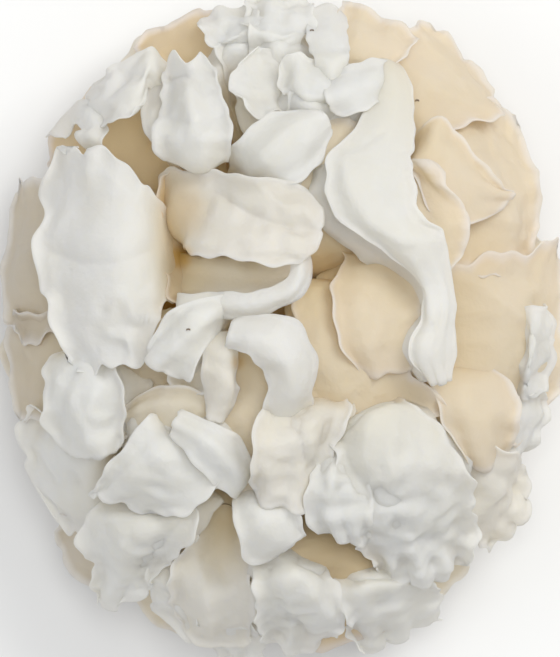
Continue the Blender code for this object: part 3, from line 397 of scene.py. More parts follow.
        ((8, -16, -8), (16, -16.5, -8), (26, -15, -9)),
    ], (0.4, 2))],
    "centre_wall_frond": [Lobe([
        ((3, 10, -11), (8, 10, -13), (13, 12, -11)),
        ((2, 19, -7), (7.5, 20, -6), (14, 20, -7)),
        ((3, 27, -5), (8.5, 27.5, -4), (14, 28, -6)),
        ((5, 34, -5), (9, 35, -5), (14, 34, -7)),
    ], (0.3, 2))],
    "right_broad_frond": [Lobe([
        ((20, 6, -14), (20, -3, -16), (19, -12, -14)),
        ((27, 10, -9), (28.5, -3, -10), (25, -15, -10)),
        ((36, 12, -7), (37, -4, -6), (33, -20, -9)),
        ((43.5, 14, -8), (43.5, -2, -6), (41, -17, -9)),
        ((46.3, 12, -11), (46.8, -2, -10), (45, -13, -12)),
    ], (0.5, 2), (0.15, 1, 0))],
    "right_upper_frond": [Lobe([
        ((20, 34, -12), (24, 24, -14), (26, 12, -12)),
        ((28, 40, -9), (31, 25, -8), (31, 9, -9)),
        ((36, 37, -8), (38.5, 24, -5), (38, 10, -8)),
        ((40, 33, -11), (43.5, 22, -8), (44, 13, -11)),
    ])],
    "top_right_frond": [Lobe([
        ((12, 41, -12), (17, 36, -14), (21, 31, -13)),
        ((17, 47, -9), (23, 41, -8), (28, 33, -9)),
        ((22, 50, -9), (29, 43.5, -6), (35, 35, -9)),
        ((26, 49, -13), (31, 45, -11), (35.5, 39, -13)),
    ], (0.6, 2)), Lobe([
        ((8, 43, -10), (12, 41, -11), (16, 40, -11)),
        ((9.5, 50, -6), (14.5, 47, -4), (20, 45, -7)),
        ((12, 54, -9), (17, 51.5, -7), (22, 48.5, -10)),
    ], (0.6, 2))],
    "top_left_back_frond": [Lobe([
        ((-18, 40, -12), (-14, 41, -14), (-10, 41, -12)),
        ((-22, 45, -9), (-16.5, 47, -8), (-9, 48, -9)),
        ((-23, 48, -12), (-18, 50.5, -11), (-10, 53.5, -13)),
    ])],
    "upper_left_back_frond": [Lobe([
        ((-22, 20, -20), (-20, 26, -22), (-18, 32, -20)),
        ((-29, 22, -14), (-27, 31, -16), (-22, 38, -14)),
        ((-36, 26, -12), (-34, 32, -11), (-28, 41, -13)),
        ((-39.5, 29, -14), (-37, 33.5, -14), (-33, 38, -15)),
    ])],
    "far_left_frond": [Lobe([
        ((-34, 22, -14), (-34, 10, -15), (-34, 0, -14)),
        ((-41, 25, -9), (-42, 12, -8), (-41, -2, -10)),
        ((-44, 22, -12), (-46.3, 12, -11), (-46, 0, -13)),
    ])],
    "left_lower_frond": [Lobe([
        ((-30, -1, -14), (-30, -6, -15), (-28, -12, -14)),
        ((-38, 2, -11), (-39, -6, -9), (-38, -15, -11)),
        ((-45.5, 3, -13), (-46, -4.5, -11), (-44, -13, -14)),
    ], (0.6, 2))],
    "lower_left_back_frond": [Lobe([
        ((-29, -30, -12), (-27, -34, -12), (-24, -39, -13)),
        ((-36, -32, -10), (-32, -38, -8), (-27, -43, -11)),
        ((-37.5, -35, -13), (-34, -40.5, -12), (-29, -45, -14)),
    ])],
    "left_inner_frond": [Lobe([
        ((-13, 1, -12), (-13, -5, -12), (-12, -12, -13)),
        ((-20, 1, -8), (-20, -6, -7), (-19, -14, -9)),
        ((-26, 0, -8), (-26, -8, -7), (-25, -17, -9)),
        ((-31, -3, -9), (-31, -10, -8), (-29, -18, -10)),
    ])],
    "lower_inner_frond": [Lobe([
        ((-9, -3, -10), (-4.5, -2, -9), (0, -4, -10)),
        ((-9, -11, -7), (-4.5, -10, -5), (0, -10, -7)),
        ((-11, -19, -6), (-5.5, -19, -5), (0, -19, -6)),
        ((-9, -27, -6), (-4.5, -28, -6), (0, -27, -7)),
    ], (0.3, 2))],
    "bottom_back_frond": [Lobe([
        ((-2, -34, -11), (7, -34, -12), (15, -36, -12)),
        ((-2, -42, -8), (8, -42, -9), (18, -44, -9)),
        ((-1, -50, -10), (8, -53, -10), (18, -50, -12)),
    ], (0.4, 2))],
    "left_hollow_frond": [Lobe([
        ((-12, 27, -12), (-13, 15, -20), (-12, 4, -14)),
        ((-17, 27, -8), (-17, 15, -12), (-16, 4, -9)),
        ((-21.5, 25, -6), (-21, 14, -6), (-20, 3, -6)),
    ], (0.3, 2))],
}


def dome_z(x, y):
    """Height of the head's dome above a point of the plan."""
    inside = max(0.0, 1 - (x / DOME_HALF_X) ** 2 - (y / DOME_HALF_Y) ** 2)
    return DOME_RIM_Z + DOME_RISE * math.sqrt(inside)


def curve_through(values, s):
    """Catmull-Rom curve through values, read at s from 0 to the last index."""
    last = len(values) - 1
    padded = np.concatenate([[2 * values[0] - values[1]], values, [2 * values[-1] - values[-2]]])
    index = np.clip(np.floor(s).astype(int), 0, last - 1)
    f = (s - index)[:, None]
    a, b, c, d = (padded[index + k] for k in range(4))
    return 0.5 * (2 * b + (c - a) * f + (2 * a - 5 * b + 4 * c - d) * f ** 2
                  + (3 * b - a - 3 * c + d) * f ** 3)


def rib_points(lobe):
    """The lobe's ribs as points in millimetres."""
    ribs = np.array(lobe.ribs, dtype=float)
    lift = ribs[:, :, 2]
    lift[-1] = lift[-2] + (lift[-1] - lift[-2]) * TIP_DROP_KEPT
    lift += (lift[:, 1:2] - lift) * (1 - BOW_KEPT)
    away = ribs[:, ::2, :2] - ribs[:, 1:2, :2]
    ribs[:, ::2, :2] += away / np.linalg.norm(away, axis=-1)[..., None] * REACH
    lift += [[dome_z(x, y) for x, y in rib] for rib in ribs[:, :, :2]]
    return ribs


def root_of(lobes):
    """The point of the foot that a frond grows from: below the middle of its first ribs."""
    middle = np.mean([rib_points(lobe)[0, 1] for lobe in lobes], axis=0)
    away = (middle - CORE_CENTRE) / CORE_HALF
    return CORE_CENTRE + away / np.linalg.norm(away) * CORE_HALF * ROOT_DEPTH


def lobe_lines(lobe, root, samples=120):
    """The lobe's left, middle and right lines from the root out, and its length."""
    ribs = rib_points(lobe)
    across = ribs[0, 2] - ribs[0, 0]
    half = across / np.linalg.norm(across) * ROOT_WIDTH / 2
    ribs = np.concatenate([[[root - half, root, root + half]], ribs])
    s = np.linspace(0, len(ribs) - 1, samples)
    middle = curve_through(ribs[:, 1], s)
    arc = np.concatenate([[0], np.cumsum(np.linalg.norm(np.diff(middle, axis=0), axis=1))])
    even = np.interp(np.linspace(0, arc[-1], samples), arc, s)
    return [curve_through(ribs[:, k], even) for k in range(3)], arc[-1]


# Tints of the fronds, and how crumpled each frond of a tint is. The ring below the rim, which
# has no entry, is plain.
PLAIN = (0.35, "ivory")
CRUMPLE_BY_TINT = {
    "white": {
        "left_great_frond": 0.1, "ribbon_frond": 0.35, "centre_scroll": 0.2, "two_point_frond": 0.5,
        "leaf_frond": 0.4, "hook_frond": 0.3, "lower_great_frond": 0.75, "lower_left_frond": 0.5,
        "lower_left_low_frond": 0.6, "middle_left_frond": 0.6, "small_pointed_frond": 0.3,
        "bottom_middle_frond": 0.7, "left_middle_frond": 0.4, "right_rim_frond": 0.9,
        "top_middle_frond": 0.8, "top_left_frond": 0.7, "top_strand_frond": 0.3,
        "upper_left_frond": 0.7, "lower_left_rim_frond": 0.6, "bottom_right_frond": 0.8,
        "bottom_edge_frond": 0.7,
    },
    "milk": {
        "centre_frond": 0.8, "lower_middle_frond": 0.8, "middle_right_frond": 0.5,
        "bottom_cup_frond": 0.5, "right_lower_frond": 0.9,
    },
    "ivory": {
        "middle_low_frond": 0.4,
    },
    # Partly painted: cream is partly own colour, partly painted warm glow and warm shade.
    "cream": {
        "right_strand_frond": 0.3, "right_lower_petal": 0.3, "centre_right_frond": 0.3,
        "centre_low_frond": 0.2, "centre_wall_frond": 0.2, "right_broad_frond": 0.35,
        "right_upper_frond": 0.45, "top_right_frond": 0.45, "lower_inner_frond": 0.3,
    },
    # Painted shade: back fronds that lie in shade get the tan tint.
    "tan": {
        "top_left_back_frond": 0.2, "upper_left_back_frond": 0.15, "bottom_back_frond": 0.3,
        "left_hollow_frond": 0.2,
    },
    # Painted shade: fronds in shade at the left get the grey tint.
    "grey": {
        "far_left_frond": 0.3, "left_lower_frond": 0.4, "lower_left_back_frond": 0.4,
        "left_inner_frond": 0.3,
    },
}

# Folds along lines of the plan: how high each stands or how deep it lies, how far its flanks
# reach, and its line.
FOLD_SHARE = 1.9
FOLDS = {
    "ribbon_frond": [
        (1.7, 3.5, [(10.5, 28), (12, 22), (15.5, 17.5), (20, 15), (24, 14.5)]),
        (-1.2, 2, [(10, 29.5), (14, 30.5), (17.5, 33)]),
        (0.9, 1.5, [(22.5, 12), (25, 6.5), (25.5, -0.5), (24.5, -4), (26.5, -9)])],
    "centre_frond": [
        (1.6, 3, [(-6, 26), (-3, 23), (0.5, 20), (3.5, 19.5), (5.5, 16.5)]),
        (-1.5, 2.5, [(-11, 23), (-5.5, 19.5), (0, 17.5), (3.5, 15.5)]),
        (1.2, 2.5, [(-13.5, 14), (-8.5, 12.5), (-2, 13), (2.5, 13)])],
    "two_point_frond": [
        (-1, 1.8, [(-18.5, 42), (-16, 42.5), (-13.5, 40.5)]),
        (-0.9, 2, [(-18.5, 35), (-14, 34), (-9.5, 35.5)]),
        (1, 2, [(-15, 40.5), (-14.5, 35), (-12.5, 29.5)])],
    "leaf_frond": [(1.5, 3, [(-5, 25), (-2, 29), (1.5, 32), (7, 34.5)])],
    "lower_left_frond": [(1, 3, [(-21.5, -15.5), (-21.5, -20.5), (-26.5, -25.5), (-30, -28)])],
    "lower_left_low_frond": [
        (1.2, 3, [(-30, -30.5), (-26, -34.5), (-26.5, -41), (-28, -44.5)]),
        (-1, 2, [(-15, -29.5), (-19, -35.5), (-23.5, -41)])],
    "lower_great_frond": [
        (-1.4, 3, [(10, -18.5), (11.5, -23), (13.5, -26), (16.5, -29), (21, -29), (25, -28),
                   (28, -25)]),
        (1.2, 2, [(16.5, -11), (21.5, -13.5), (26, -18.5), (29, -24.5)])],
    "left_great_frond": [
        (0.9, 3.5, [(-36.5, 24.5), (-30, 26.5), (-24, 21.5)]),
        (-0.9, 3, [(-38.5, 13), (-33.5, 11), (-26.5, 11), (-21.5, 13)])],
    "left_middle_frond": [(1.2, 3.5, [(-36.5, -8.5), (-33.5, -13.5), (-31, -19.5)])],
    "lower_middle_frond": [
        (1.3, 3, [(-3, -16), (-2.5, -21), (-1.5, -26)]),
        (-1.2, 2.5, [(1.5, -13.5), (3.5, -18.5), (5, -23.5)])],
    "hook_frond": [(0.8, 2, [(-5, -3), (1, -5.5), (2.5, -11), (1, -16)])],
    "middle_left_frond": [(1, 2, [(-11, 3), (-15, -1), (-20, -5.5)])],
    "bottom_cup_frond": [(1.4, 3, [(-15, -36), (-12.5, -43.5), (-11, -50.5)])],
    "bottom_middle_frond": [
        (1.3, 2.5, [(0, -38.5), (5, -43.5), (8.5, -48.5)]),
        (-1.2, 2, [(-2.5, -45.5), (1.5, -48), (5, -52)])],
    "top_left_frond": [(-1.2, 2.5, [(-11, 48), (-6, 46.5), (-1, 47), (3.5, 49.5)])],
    "right_broad_frond": [(1.5, 5, [(26.5, 9.5), (33.5, 7), (40, 1.5), (43.5, -5.5)])],
    "right_upper_frond": [
        (1.2, 5, [(26.5, 36.5), (33.5, 28), (38.5, 18)]),
        (-1, 4, [(31.5, 38), (36.5, 28), (41.5, 16.5)])],
    "top_right_frond": [(1.2, 4, [(20, 44.5), (26.5, 39.5), (33.5, 36.5)])],
}

# Places where a smooth frond is finely crumpled: x, y, reach and strength.
CRUMPLED = {
    "left_great_frond": [(-23, -1, 6, 2.2)],
    "lower_great_frond": [(18, -20, 9, 1), (22, -33, 9, 1), (9, -28, 5, 0.8)],
    "centre_frond": [(-2, 17, 6, 0.8)],
    "two_point_frond": [(-14, 32, 6, 0.8)],
    "left_middle_frond": [(-32, -12, 6, 1)],
    "lower_left_frond": [(-21, -24, 6, 0.9)],
    "lower_left_low_frond": [(-24, -36, 7, 1.2)],
    "lower_middle_frond": [(3, -20, 6, 1)],
    "bottom_middle_frond": [(3, -46, 6, 1.4)],
    "upper_left_frond": [(-27, 40, 6, 1.3)],
    "top_left_frond": [(-2, 50, 6, 1.4)],
}
CRUMPLE_SIZE = 3.3

# Fronds whose sheets lie this much higher at their middles than their solids, or lower.
LIFTED = {"centre_scroll": 4.0, "bottom_back_frond": 4.5, "right_rim_frond": 3.0,
          "bottom_edge_frond": -2.0, "centre_low_frond": 2.0, "lower_inner_frond": 2.0,
          "centre_wall_frond": 1.5}

# Dirt on the fronds: the ends of a thin dark hair, and specks, all on the plan.
HAIR = ((-10.2, -29.5), (-7.8, -29.8))
HAIR_THICKNESS = 0.16
HAIR_BEND = 0.25
SPECKS = [(22.7, 38.3), (5.0, 50.0), (-15.5, -0.2)]
SPECK_LENGTH = 0.7
DIRT = (0.12, 0.08, 0.05)

# Fronds with no under layer, which would hide a hollow or show where the real frond has none.
SINGLE = ["centre_scroll", "centre_frond", "left_great_frond", "upper_left_frond",
          "two_point_frond", "hook_frond", "middle_right_frond", "bottom_cup_frond",
          "upper_left_back_frond", "right_strand_frond", "top_strand_frond"]

# Colours of dried flesh. The tan and grey tints are painted shade: darker sheets for the fronds
# that lie in shade at the back and the left. Cream is partly the flesh's own colour and partly
# a painted warm glow of light through it, and painted warm shade on the deeper fronds.
TINTS = {
    "white": (0.875, 0.88, 0.862),
    "milk": (0.87, 0.845, 0.775),
    "ivory": (0.87, 0.80, 0.65),
    "cream": (0.865, 0.755, 0.57),
    "tan": (0.78, 0.62, 0.39),
    "grey": (0.68, 0.61, 0.50),
}
AMBER = (0.60, 0.33, 0.07)
# HONEY colours the foot and the light through the young root, and is also painted shade on hollows
# below the dome.
HONEY = (0.82, 0.64, 0.37)
# MARGIN_WHITE is partly the thin margins' paler flesh and partly a painted rim highlight.
MARGIN_WHITE = (0.90, 0.895, 0.87)

# Painted shade in amber over the dark hole and the shaded hollows of the middle: x, y, reach
# and strength, on each sheet there but the named one.
HOLE_SHADES = [(-16.6, 12.0, 2.1, 1.0), (-17.2, 19.5, 5.0, 0.42), (7.2, 10.5, 3.0, 0.35),
          (-6.9, -5.6, 1.2, 0.6)]
NO_HOLE_SHADE = ["left_great_frond_sheet"]

# Light that has passed through the flesh, its share, and how much warmer it is than the tint.
GLOW_SHARE = 0.4
GLOW = (1.05, 1.01, 0.94)

# Shares of its tint that a frond has in its creamier patches, and toward its root, where the
# darker cream is partly its own colour and partly painted shade of the valleys.
PATCH = (0.96, 0.94, 0.88)
INNER = (0.94, 0.87, 0.71)

# Where each colour begins and is full, on a value from 0 to 1, and its share there. The young
# part at the root is all amber.
PATCH_BAND = (0.38, 0.66, 0.7)
INNER_BAND = (0.75, 0.3, 0.8)
MARGIN_BAND = (0.86, 1.0, 0.8)
HOLLOW_SHADE_BAND = (0.04, 0.5, 0.95)
YOUNG_BAND = (0.45, 0.1)

# Painted shade: hollows turn to honey from this height up, and fully this much higher.
SHADE_LOW = 14.0
SHADE_RISE = 12.0

# The camera looks straight down, and its view is this high at the level of the fronds.
CAMERA_HEIGHT = 1.6
VIEW_LEVEL = 0.045
VIEW_HEIGHT = 0.1095
SENSOR = 24.0

# Lights: name, place, size, power and colour. They aim at the head.
LIGHTS = [
    ("key", (0.4, 0.42, 0.7), 0.45, 4.4, (0.985, 0.98, 0.945)),
    ("fill", (-0.6, -0.1, 0.6), 0.6, 1.2, (0.9, 0.95, 1.0)),
    ("top", (0.1, 0.15, 2.2), 0.7, 13.5, (0.98, 0.99, 0.96)),
]
LIGHT_AIM = (0, 0, 0.03)
ROOM_LIGHT = (0.99, 0.99, 1.0, 1)
ROOM_POWER = 0.42
GAMMA = 1.3
FLOOR_REACH = 3.0


def noise(points, wavelength, seed):
    """Smooth noise in space, from about -1 to 1, between random numbers on a cube of cells."""
    table = np.random.default_rng(seed).uniform(-1, 1, (NOISE_CELLS,) * 3)
    place = points / wavelength + 100.0
    cell = np.floor(place).astype(int)
    f = place - cell
    f = f * f * (3 - 2 * f)
    total = 0.0
    for dx in (0, 1):
        for dy in (0, 1):
            for dz in (0, 1):
                weight = (f[..., 0] if dx else 1 - f[..., 0])
                weight = weight * (f[..., 1] if dy else 1 - f[..., 1])
                weight = weight * (f[..., 2] if dz else 1 - f[..., 2])
                corner = (cell + np.array([dx, dy, dz])) % NOISE_CELLS
                total = total + weight * table[corner[..., 0], corner[..., 1], corner[..., 2]]
    return total


def crests(points, wavelength, seed):
    """Noise folded at nought, which gives sharp crests at one level and valleys below it."""
    return CREST_LEVEL - np.abs(noise(points, wavelength, seed)) * CREST_SHARE


def unit(arrows, least=1e-9):
    """Arrows made 1 long, or shorter where they are shorter than the least length."""
    return arrows / np.maximum(np.linalg.norm(arrows, axis=-1), least)[..., None]


def grid_normals(grid):
    """Unit normals at the points of a grid."""
    return unit(np.cross(np.gradient(grid, axis=1), np.gradient(grid, axis=0)))


def smoothed(grid, passes):
    """Grid of directions, averaged with its neighbours and made unit long again."""
    for _ in range(passes):
        wide = np.pad(grid, ((1, 1), (1, 1), (0, 0)), mode="edge")
        sides = wide[1:-1, 1:-1] * 2 + wide[:-2, 1:-1] + wide[2:, 1:-1]
        grid = (sides + wide[1:-1, :-2] + wide[1:-1, 2:]) / 6
    return unit(grid)


def line_distance(points, line):
    """Distance on the plan from points to a line of several stretches."""
    near = np.full(points.shape[:-1], np.inf)
    for start, end in zip(np.array(line, dtype=float), np.array(line[1:], dtype=float)):
        along = end - start
        share = np.clip(((points - start) @ along) / (along @ along), 0, 1)
        gap = np.linalg.norm(points - start - share[..., None] * along, axis=-1)
        near = np.minimum(near, gap)
    return near


def marks(surface, name, seed):
    """Height that a frond's folds and crumpled places add to its points."""
    total = np.zeros(surface.shape[:-1])
    for height, reach, line in FOLDS.get(name, []):
        total += FOLD_SHARE * height * np.exp(-line_distance(surface[..., :2], line) / reach)
    for x, y, reach, strength in CRUMPLED.get(name, []):
        near = np.exp(-((surface[..., 0] - x) ** 2 + (surface[..., 1] - y) ** 2) / reach ** 2)
        total += strength * near * crests(surface, CRUMPLE_SIZE, seed + 9)
    return total


def fine_grid(lobe, root, crumple, seed, name="", lifted=0.0, under=False):
    """Wavy surface of a lobe's upper or under layer, with how far out its points are: along
    the lobe, and toward its margins."""
    (left, middle, right), length = lobe_lines(lobe, root)
    width = np.linalg.norm(right - left, axis=1)
    rounding, points, notch = lobe.tip
    height, count = lobe.wave
    phase = np.random.default_rng(seed).uniform(0, 2 * math.pi, 8)
    fineness = (UNDER_FINENESS if under else 1.0) / FINE_STEP
    across = int(np.clip(width.max() * fineness, *ACROSS_LIMITS))
    along = int(np.clip(length * fineness, *ALONG_LIMITS))
    u = np.linspace(-1, 1, across + 1)[None, :]
    v = np.linspace(0, 1, along + 1)[:, None]

    # The tip's rounding and notches cut the lobe short
    corner = 1 - (1 - np.abs(u) ** TIP_CORNER) ** (1 / TIP_CORNER)
    flip = math.pi if points % 2 else 0.0
    between = 0.5 + 0.5 * np.cos(math.pi * u * points + flip)
    short = rounding * corner + NOTCH_KEPT * notch * between
    short = short + TIP_RAGGED * (np.sin(u * 7 + phase[0]) + 0.6 * np.sin(u * 15 + phase[1]))
    short = np.maximum(short, 0)
    t = np.clip(v - short * width[-1] / length * v ** 4, 0, 1)

    # Loft between the three lines, with swaying margins
    at = t * (len(middle) - 1)
    low = np.clip(np.floor(at).astype(int), 0, len(middle) - 2)
    f = (at - low)[..., None]
    l, m, r = (line[low] * (1 - f) + line[low + 1] * f for line in (left, middle, right))
    side = np.sign(u)
    sway = SLOW_SWAY[0] * np.sin(t * length * SLOW_SWAY[1] + phase[2] + side)
    spread = SPREAD * NARROWER.get(name, 1.0) + sway
    spread = spread + QUICK_SWAY[0] * np.sin(t * length * QUICK_SWAY[1] + phase[3])
    q = (u * spread)[..., None]
    if under:
        q = q * (1 + (UNDER_WIDER - 1) * np.clip(t * 3 - 1, 0, 1)[..., None])
    surface = m + (r - l) / 2 * q + ((l + r) / 2 - m) * q ** 2 * (1.8 - 0.8 * q ** 2)
    raised = np.clip(t * 2 - 0.4, 0, 1) * (1 - t ** 6) * (1 - u ** 4)
    surface = surface + UP * (lifted * raised)[..., None]
    normal = grid_normals(surface)
    facing = 1.0 if normal[..., 2].mean() > 0 else -1.0
    if under:
        depth = UNDER_MIDDLE + (UNDER_MARGIN - UNDER_MIDDLE) * np.abs(u) ** 2 + UNDER_TIP * v ** 6
        depth = depth * np.clip(t * 4 - 0.8, 0, 1)
        surface = surface + unit(CORE_CENTRE - surface) * depth[..., None]
        normal = grid_normals(surface)

    # Ripples along the margins and the front
    turns = 2 * math.pi * count
    edge = np.abs(u) ** 2.5 * np.sin(turns * t + phase[4] + (u > 0) * 2.1) * np.clip(t * 3, 0, 1)
    front = t ** 4 * np.sin(turns * 0.5 * u + phase[5]) * 0.8
    surface = surface + normal * (height * (edge + front))[..., None]

    # Swells, folds, puckers, creases, pleats and waves of the margin, then the frond's own folds
    free = np.clip(t * FREE_SLOPE + FREE_START, 0, 1)
    rim = np.maximum(np.abs(u) + 0 * v, v ** 3 + 0 * u)
    loose = free * (0.55 + 0.45 * rim)
    rough = LEAST_ROUGH + crumple
    wide = np.linalg.norm(r - l, axis=-1) / FULL_WIDTH
    small = np.clip(wide, LEAST_BEND, 1) ** NARROW_POWER
    loose = loose * small
    bend = SWELL[1] * noise(surface, SWELL[0], seed + 1) * loose
    bend = bend + rough * FOLD[1] * crests(surface, FOLD[0], seed + 2) * loose
    bend = bend + crumple * PUCKER[1] * crests(surface, PUCKER[0], seed + 6) * loose
    bend = bend + rough * CREASE[1] * noise(surface, CREASE[0], seed + 3) * free
    across_at = u * width.max() / 2 / PLEAT[0] + 0 * v
    own = np.stack([across_at, t * length / PLEAT[1], 0 * t + 0.5], axis=-1)
    bend = bend + rough * PLEAT[2] * noise(own, 1.0, seed + 7) * free * t ** 2
    waves = MARGIN_WAVE[1] * noise(surface, MARGIN_WAVE[0], seed + 4)
    bend = bend + waves * rim ** 5 * free * small * (0.3 + crumple)
    if not under:
        bend = bend + MARGIN_CURL * rim ** 6 * free * small + marks(surface, name, seed) * free
    normal = smoothed(grid_normals(surface), SMOOTHING)
    surface = surface + unit(normal * facing + UP, 0.3) * bend[..., None]

    # Notches of the margins
    jag = MARGIN_NOTCH[1] * noise(surface, MARGIN_NOTCH[0], seed + 5) * free
    jag = jag * CALMER.get(name, 1.0)
    outward = unit(np.gradient(surface, axis=1) * side[..., None])
    surface = surface + outward * (jag * np.abs(u) ** 6)[..., None]
    forward = unit(np.gradient(surface, axis=0))
    surface = surface + forward * (jag * v ** 10)[..., None]
    return surface, t + 0 * u, rim * (0 if under else 1)


def new_object(name, data):
    """New object in the scene."""
    made = bpy.data.objects.new(name, data)
    bpy.context.scene.collection.objects.link(made)
    return made


def sheet_piece(name, grids):
    """One closed thin sheet per grid, joined in one object."""
    points = []
    faces = []
    growth = []
    rims = []
    for surface, t, rim in grids:
        rows, cols = surface.shape[:2]
        start = sum(len(part) for part in points)
        normal = smoothed(grid_normals(surface), 1)
        half = (SHEET_MARGIN + (SHEET_MIDDLE - SHEET_MARGIN) * (1 - rim ** 3))[..., None] / 2
        points.append((surface + normal * half).reshape(-1, 3))
        points.append((surface - normal * half).reshape(-1, 3))
        growth += [t.ravel(), t.ravel()]
        rims += [rim.ravel(), rim.ravel()]
        size = rows * cols
        index = np.arange(size).reshape(rows, cols) + start
        a, b, c, d = index[:-1, :-1], index[:-1, 1:], index[1:, 1:], index[1:, :-1]
        top = np.stack([a, b, c, d], axis=-1).reshape(-1, 4)
        faces.append(top)
        faces.append(top[:, ::-1] + size)
        loop = np.concatenate([index[0, :], index[1:, -1], index[-1, -2::-1], index[-2:0:-1, 0]])
        after = np.roll(loop, -1)
        faces.append(np.stack([after, loop, loop + size, after + size], axis=-1))
    points = np.concatenate(points) * MM
    faces = np.concatenate(faces)
    mesh = bpy.data.meshes.new(name)
    mesh.vertices.add(len(points))
    mesh.vertices.foreach_set("co", points.ravel())
    mesh.loops.add(faces.size)
    mesh.loops.foreach_set("vertex_index", faces.ravel())
    mesh.polygons.add(len(faces))
    mesh.polygons.foreach_set("loop_start", np.arange(0, faces.size, 4))
    mesh.polygons.foreach_set("loop_total", np.full(len(faces), 4))
    mesh.polygons.foreach_set("use_smooth", np.ones(len(faces), dtype=bool))
    mesh.update(calc_edges=True)
    mesh.validate()
    place = points / MM
    half = np.array([DOME_HALF_X, DOME_HALF_Y, DOME_RISE])
    # Painted shade: amber darkening over the middle's hole and shaded hollows.
    hole_shade = np.zeros(len(place))
    for x, y, reach, strength in HOLE_SHADES:
        gap = np.hypot(place[:, 0] - x, place[:, 1] - y)
        hole_shade = np.maximum(hole_shade, strength * np.exp(-(gap / reach) ** 4))
    if name in NO_HOLE_SHADE:
        hole_shade[:] = 0
    # Painted shade: the deeper a point lies inside the dome, the more honey it gets.
    place[:, 2] = np.maximum(place[:, 2] - DOME_RIM_Z, 0)
    painted_hollow_shade = 1 - np.linalg.norm(place / half, axis=1)
    painted_hollow_shade = painted_hollow_shade * np.clip((points[:, 2] / MM - SHADE_LOW) / SHADE_RISE, 0.15, 1)
    for label, values in (("growth", np.concatenate(growth)), ("rim", np.concatenate(rims)),
                          ("painted_hollow_shade", np.clip(painted_hollow_shade * 2, 0, 1)), ("hole_shade", hole_shade)):
        layer = mesh.attributes.new(label, "FLOAT", "POINT")
        layer.data.foreach_set("value", values)
    return new_object(name, mesh)


def skirt_lobes():
    """Fronds below the rim: a ring of lobes that hang outward and down from the foot."""
    rng = np.random.default_rng(SKIRT_SEED)
    fronds = {}
    for number in range(SKIRT_COUNT):
        angle = 2 * math.pi * (number + rng.uniform(-SKIRT_SHIFT, SKIRT_SHIFT)) / SKIRT_COUNT
        half = rng.uniform(*SKIRT_HALF)
        drop = rng.uniform(*SKIRT_DROP)
        tier = SKIRT_TIERS[number % len(SKIRT_TIERS)]
        ribs = []
        for out, spread, z in tier:
            rib = []
            for side in (-1, 0, 1):
                x = DOME_HALF_X * out * math.cos(angle + side * half * spread)
                y = DOME_HALF_Y * out * math.sin(angle + side * half * spread)
                level = z + drop - SKIRT_DROOP * abs(side)
                rib.append((x, y, level - dome_z(x, y)))
            ribs.append(rib)
        fronds[f"skirt_frond_{number + 1:02d}"] = [Lobe(ribs, (0.8, 2), (0.3, 1, 0))]
    return fronds


def node(tree, kind, **values):
    """New shader node with its settings."""
    made = tree.nodes.new(kind)
    for key, value in values.items():
        setattr(made, key, value)
    return made


def settle(made, values):
    """Sets a node's inputs."""
    for name, value in values.items():
        made.inputs[name].default_value = value


def attribute(tree, name):
    """Output of a mesh attribute."""
    return node(tree, "ShaderNodeAttribute", attribute_name=name).outputs["Fac"]


def ramp(tree, source, low, high):
    """Smooth step of a value from low to high."""
    made = node(tree, "ShaderNodeMapRange", interpolation_type="SMOOTHSTEP")
    settle(made, {"From Min": low, "From Max": high})
    tree.links.new(source, made.inputs["Value"])
    return made.outputs["Result"]


def scaled(tree, source, factor):
    """A value times a number."""
    made = node(tree, "ShaderNodeMath", operation="MULTIPLY")
    made.inputs[1].default_value = factor
    tree.links.new(source, made.inputs[0])
    return made.outputs[0]


def mixed(tree, factor, first, second, blend="MIX"):
    """Mix of two colours, each a socket or a plain colour."""
    made = node(tree, "ShaderNodeMix", data_type="RGBA", blend_type=blend)
    tree.links.new(factor, made.inputs["Factor"])
    for socket, colour in ((made.inputs[6], first), (made.inputs[7], second)):
        if isinstance(colour, tuple):
            socket.default_value = (*colour, 1)
        else:
            tree.links.new(colour, socket)
    return made.outputs[2]


def shade(tint, shares):
    """A colour times a share of each channel, at most white."""
    return tuple(min(1.0, c * k) for c, k in zip(tint, shares))


def clouds(tree, scale, detail):
    """Noise in the object's own space."""
    place = node(tree, "ShaderNodeTexCoord")
    made = node(tree, "ShaderNodeTexNoise")
    settle(made, {"Scale": scale, "Detail": detail})
    tree.links.new(place.outputs["Object"], made.inputs["Vector"])
    return made.outputs["Fac"]


def bump(tree, scale, detail, strength, distance, under=None):
    """Bumps of a noise, on top of an earlier node's, as a new node."""
    made = node(tree, "ShaderNodeBump")
    settle(made, {"Strength": strength, "Distance": distance})
    tree.links.new(clouds(tree, scale, detail), made.inputs["Height"])
    if under:
        tree.links.new(under.outputs["Normal"], made.inputs["Normal"])
    return made


def new_material(name, roughness):
    """New material, its node tree and its shader."""
    material = bpy.data.materials.new(name)
    material.use_nodes = True
    shader = material.node_tree.nodes["Principled BSDF"]
    shader.inputs["Roughness"].default_value = roughness
    return material, material.node_tree, shader


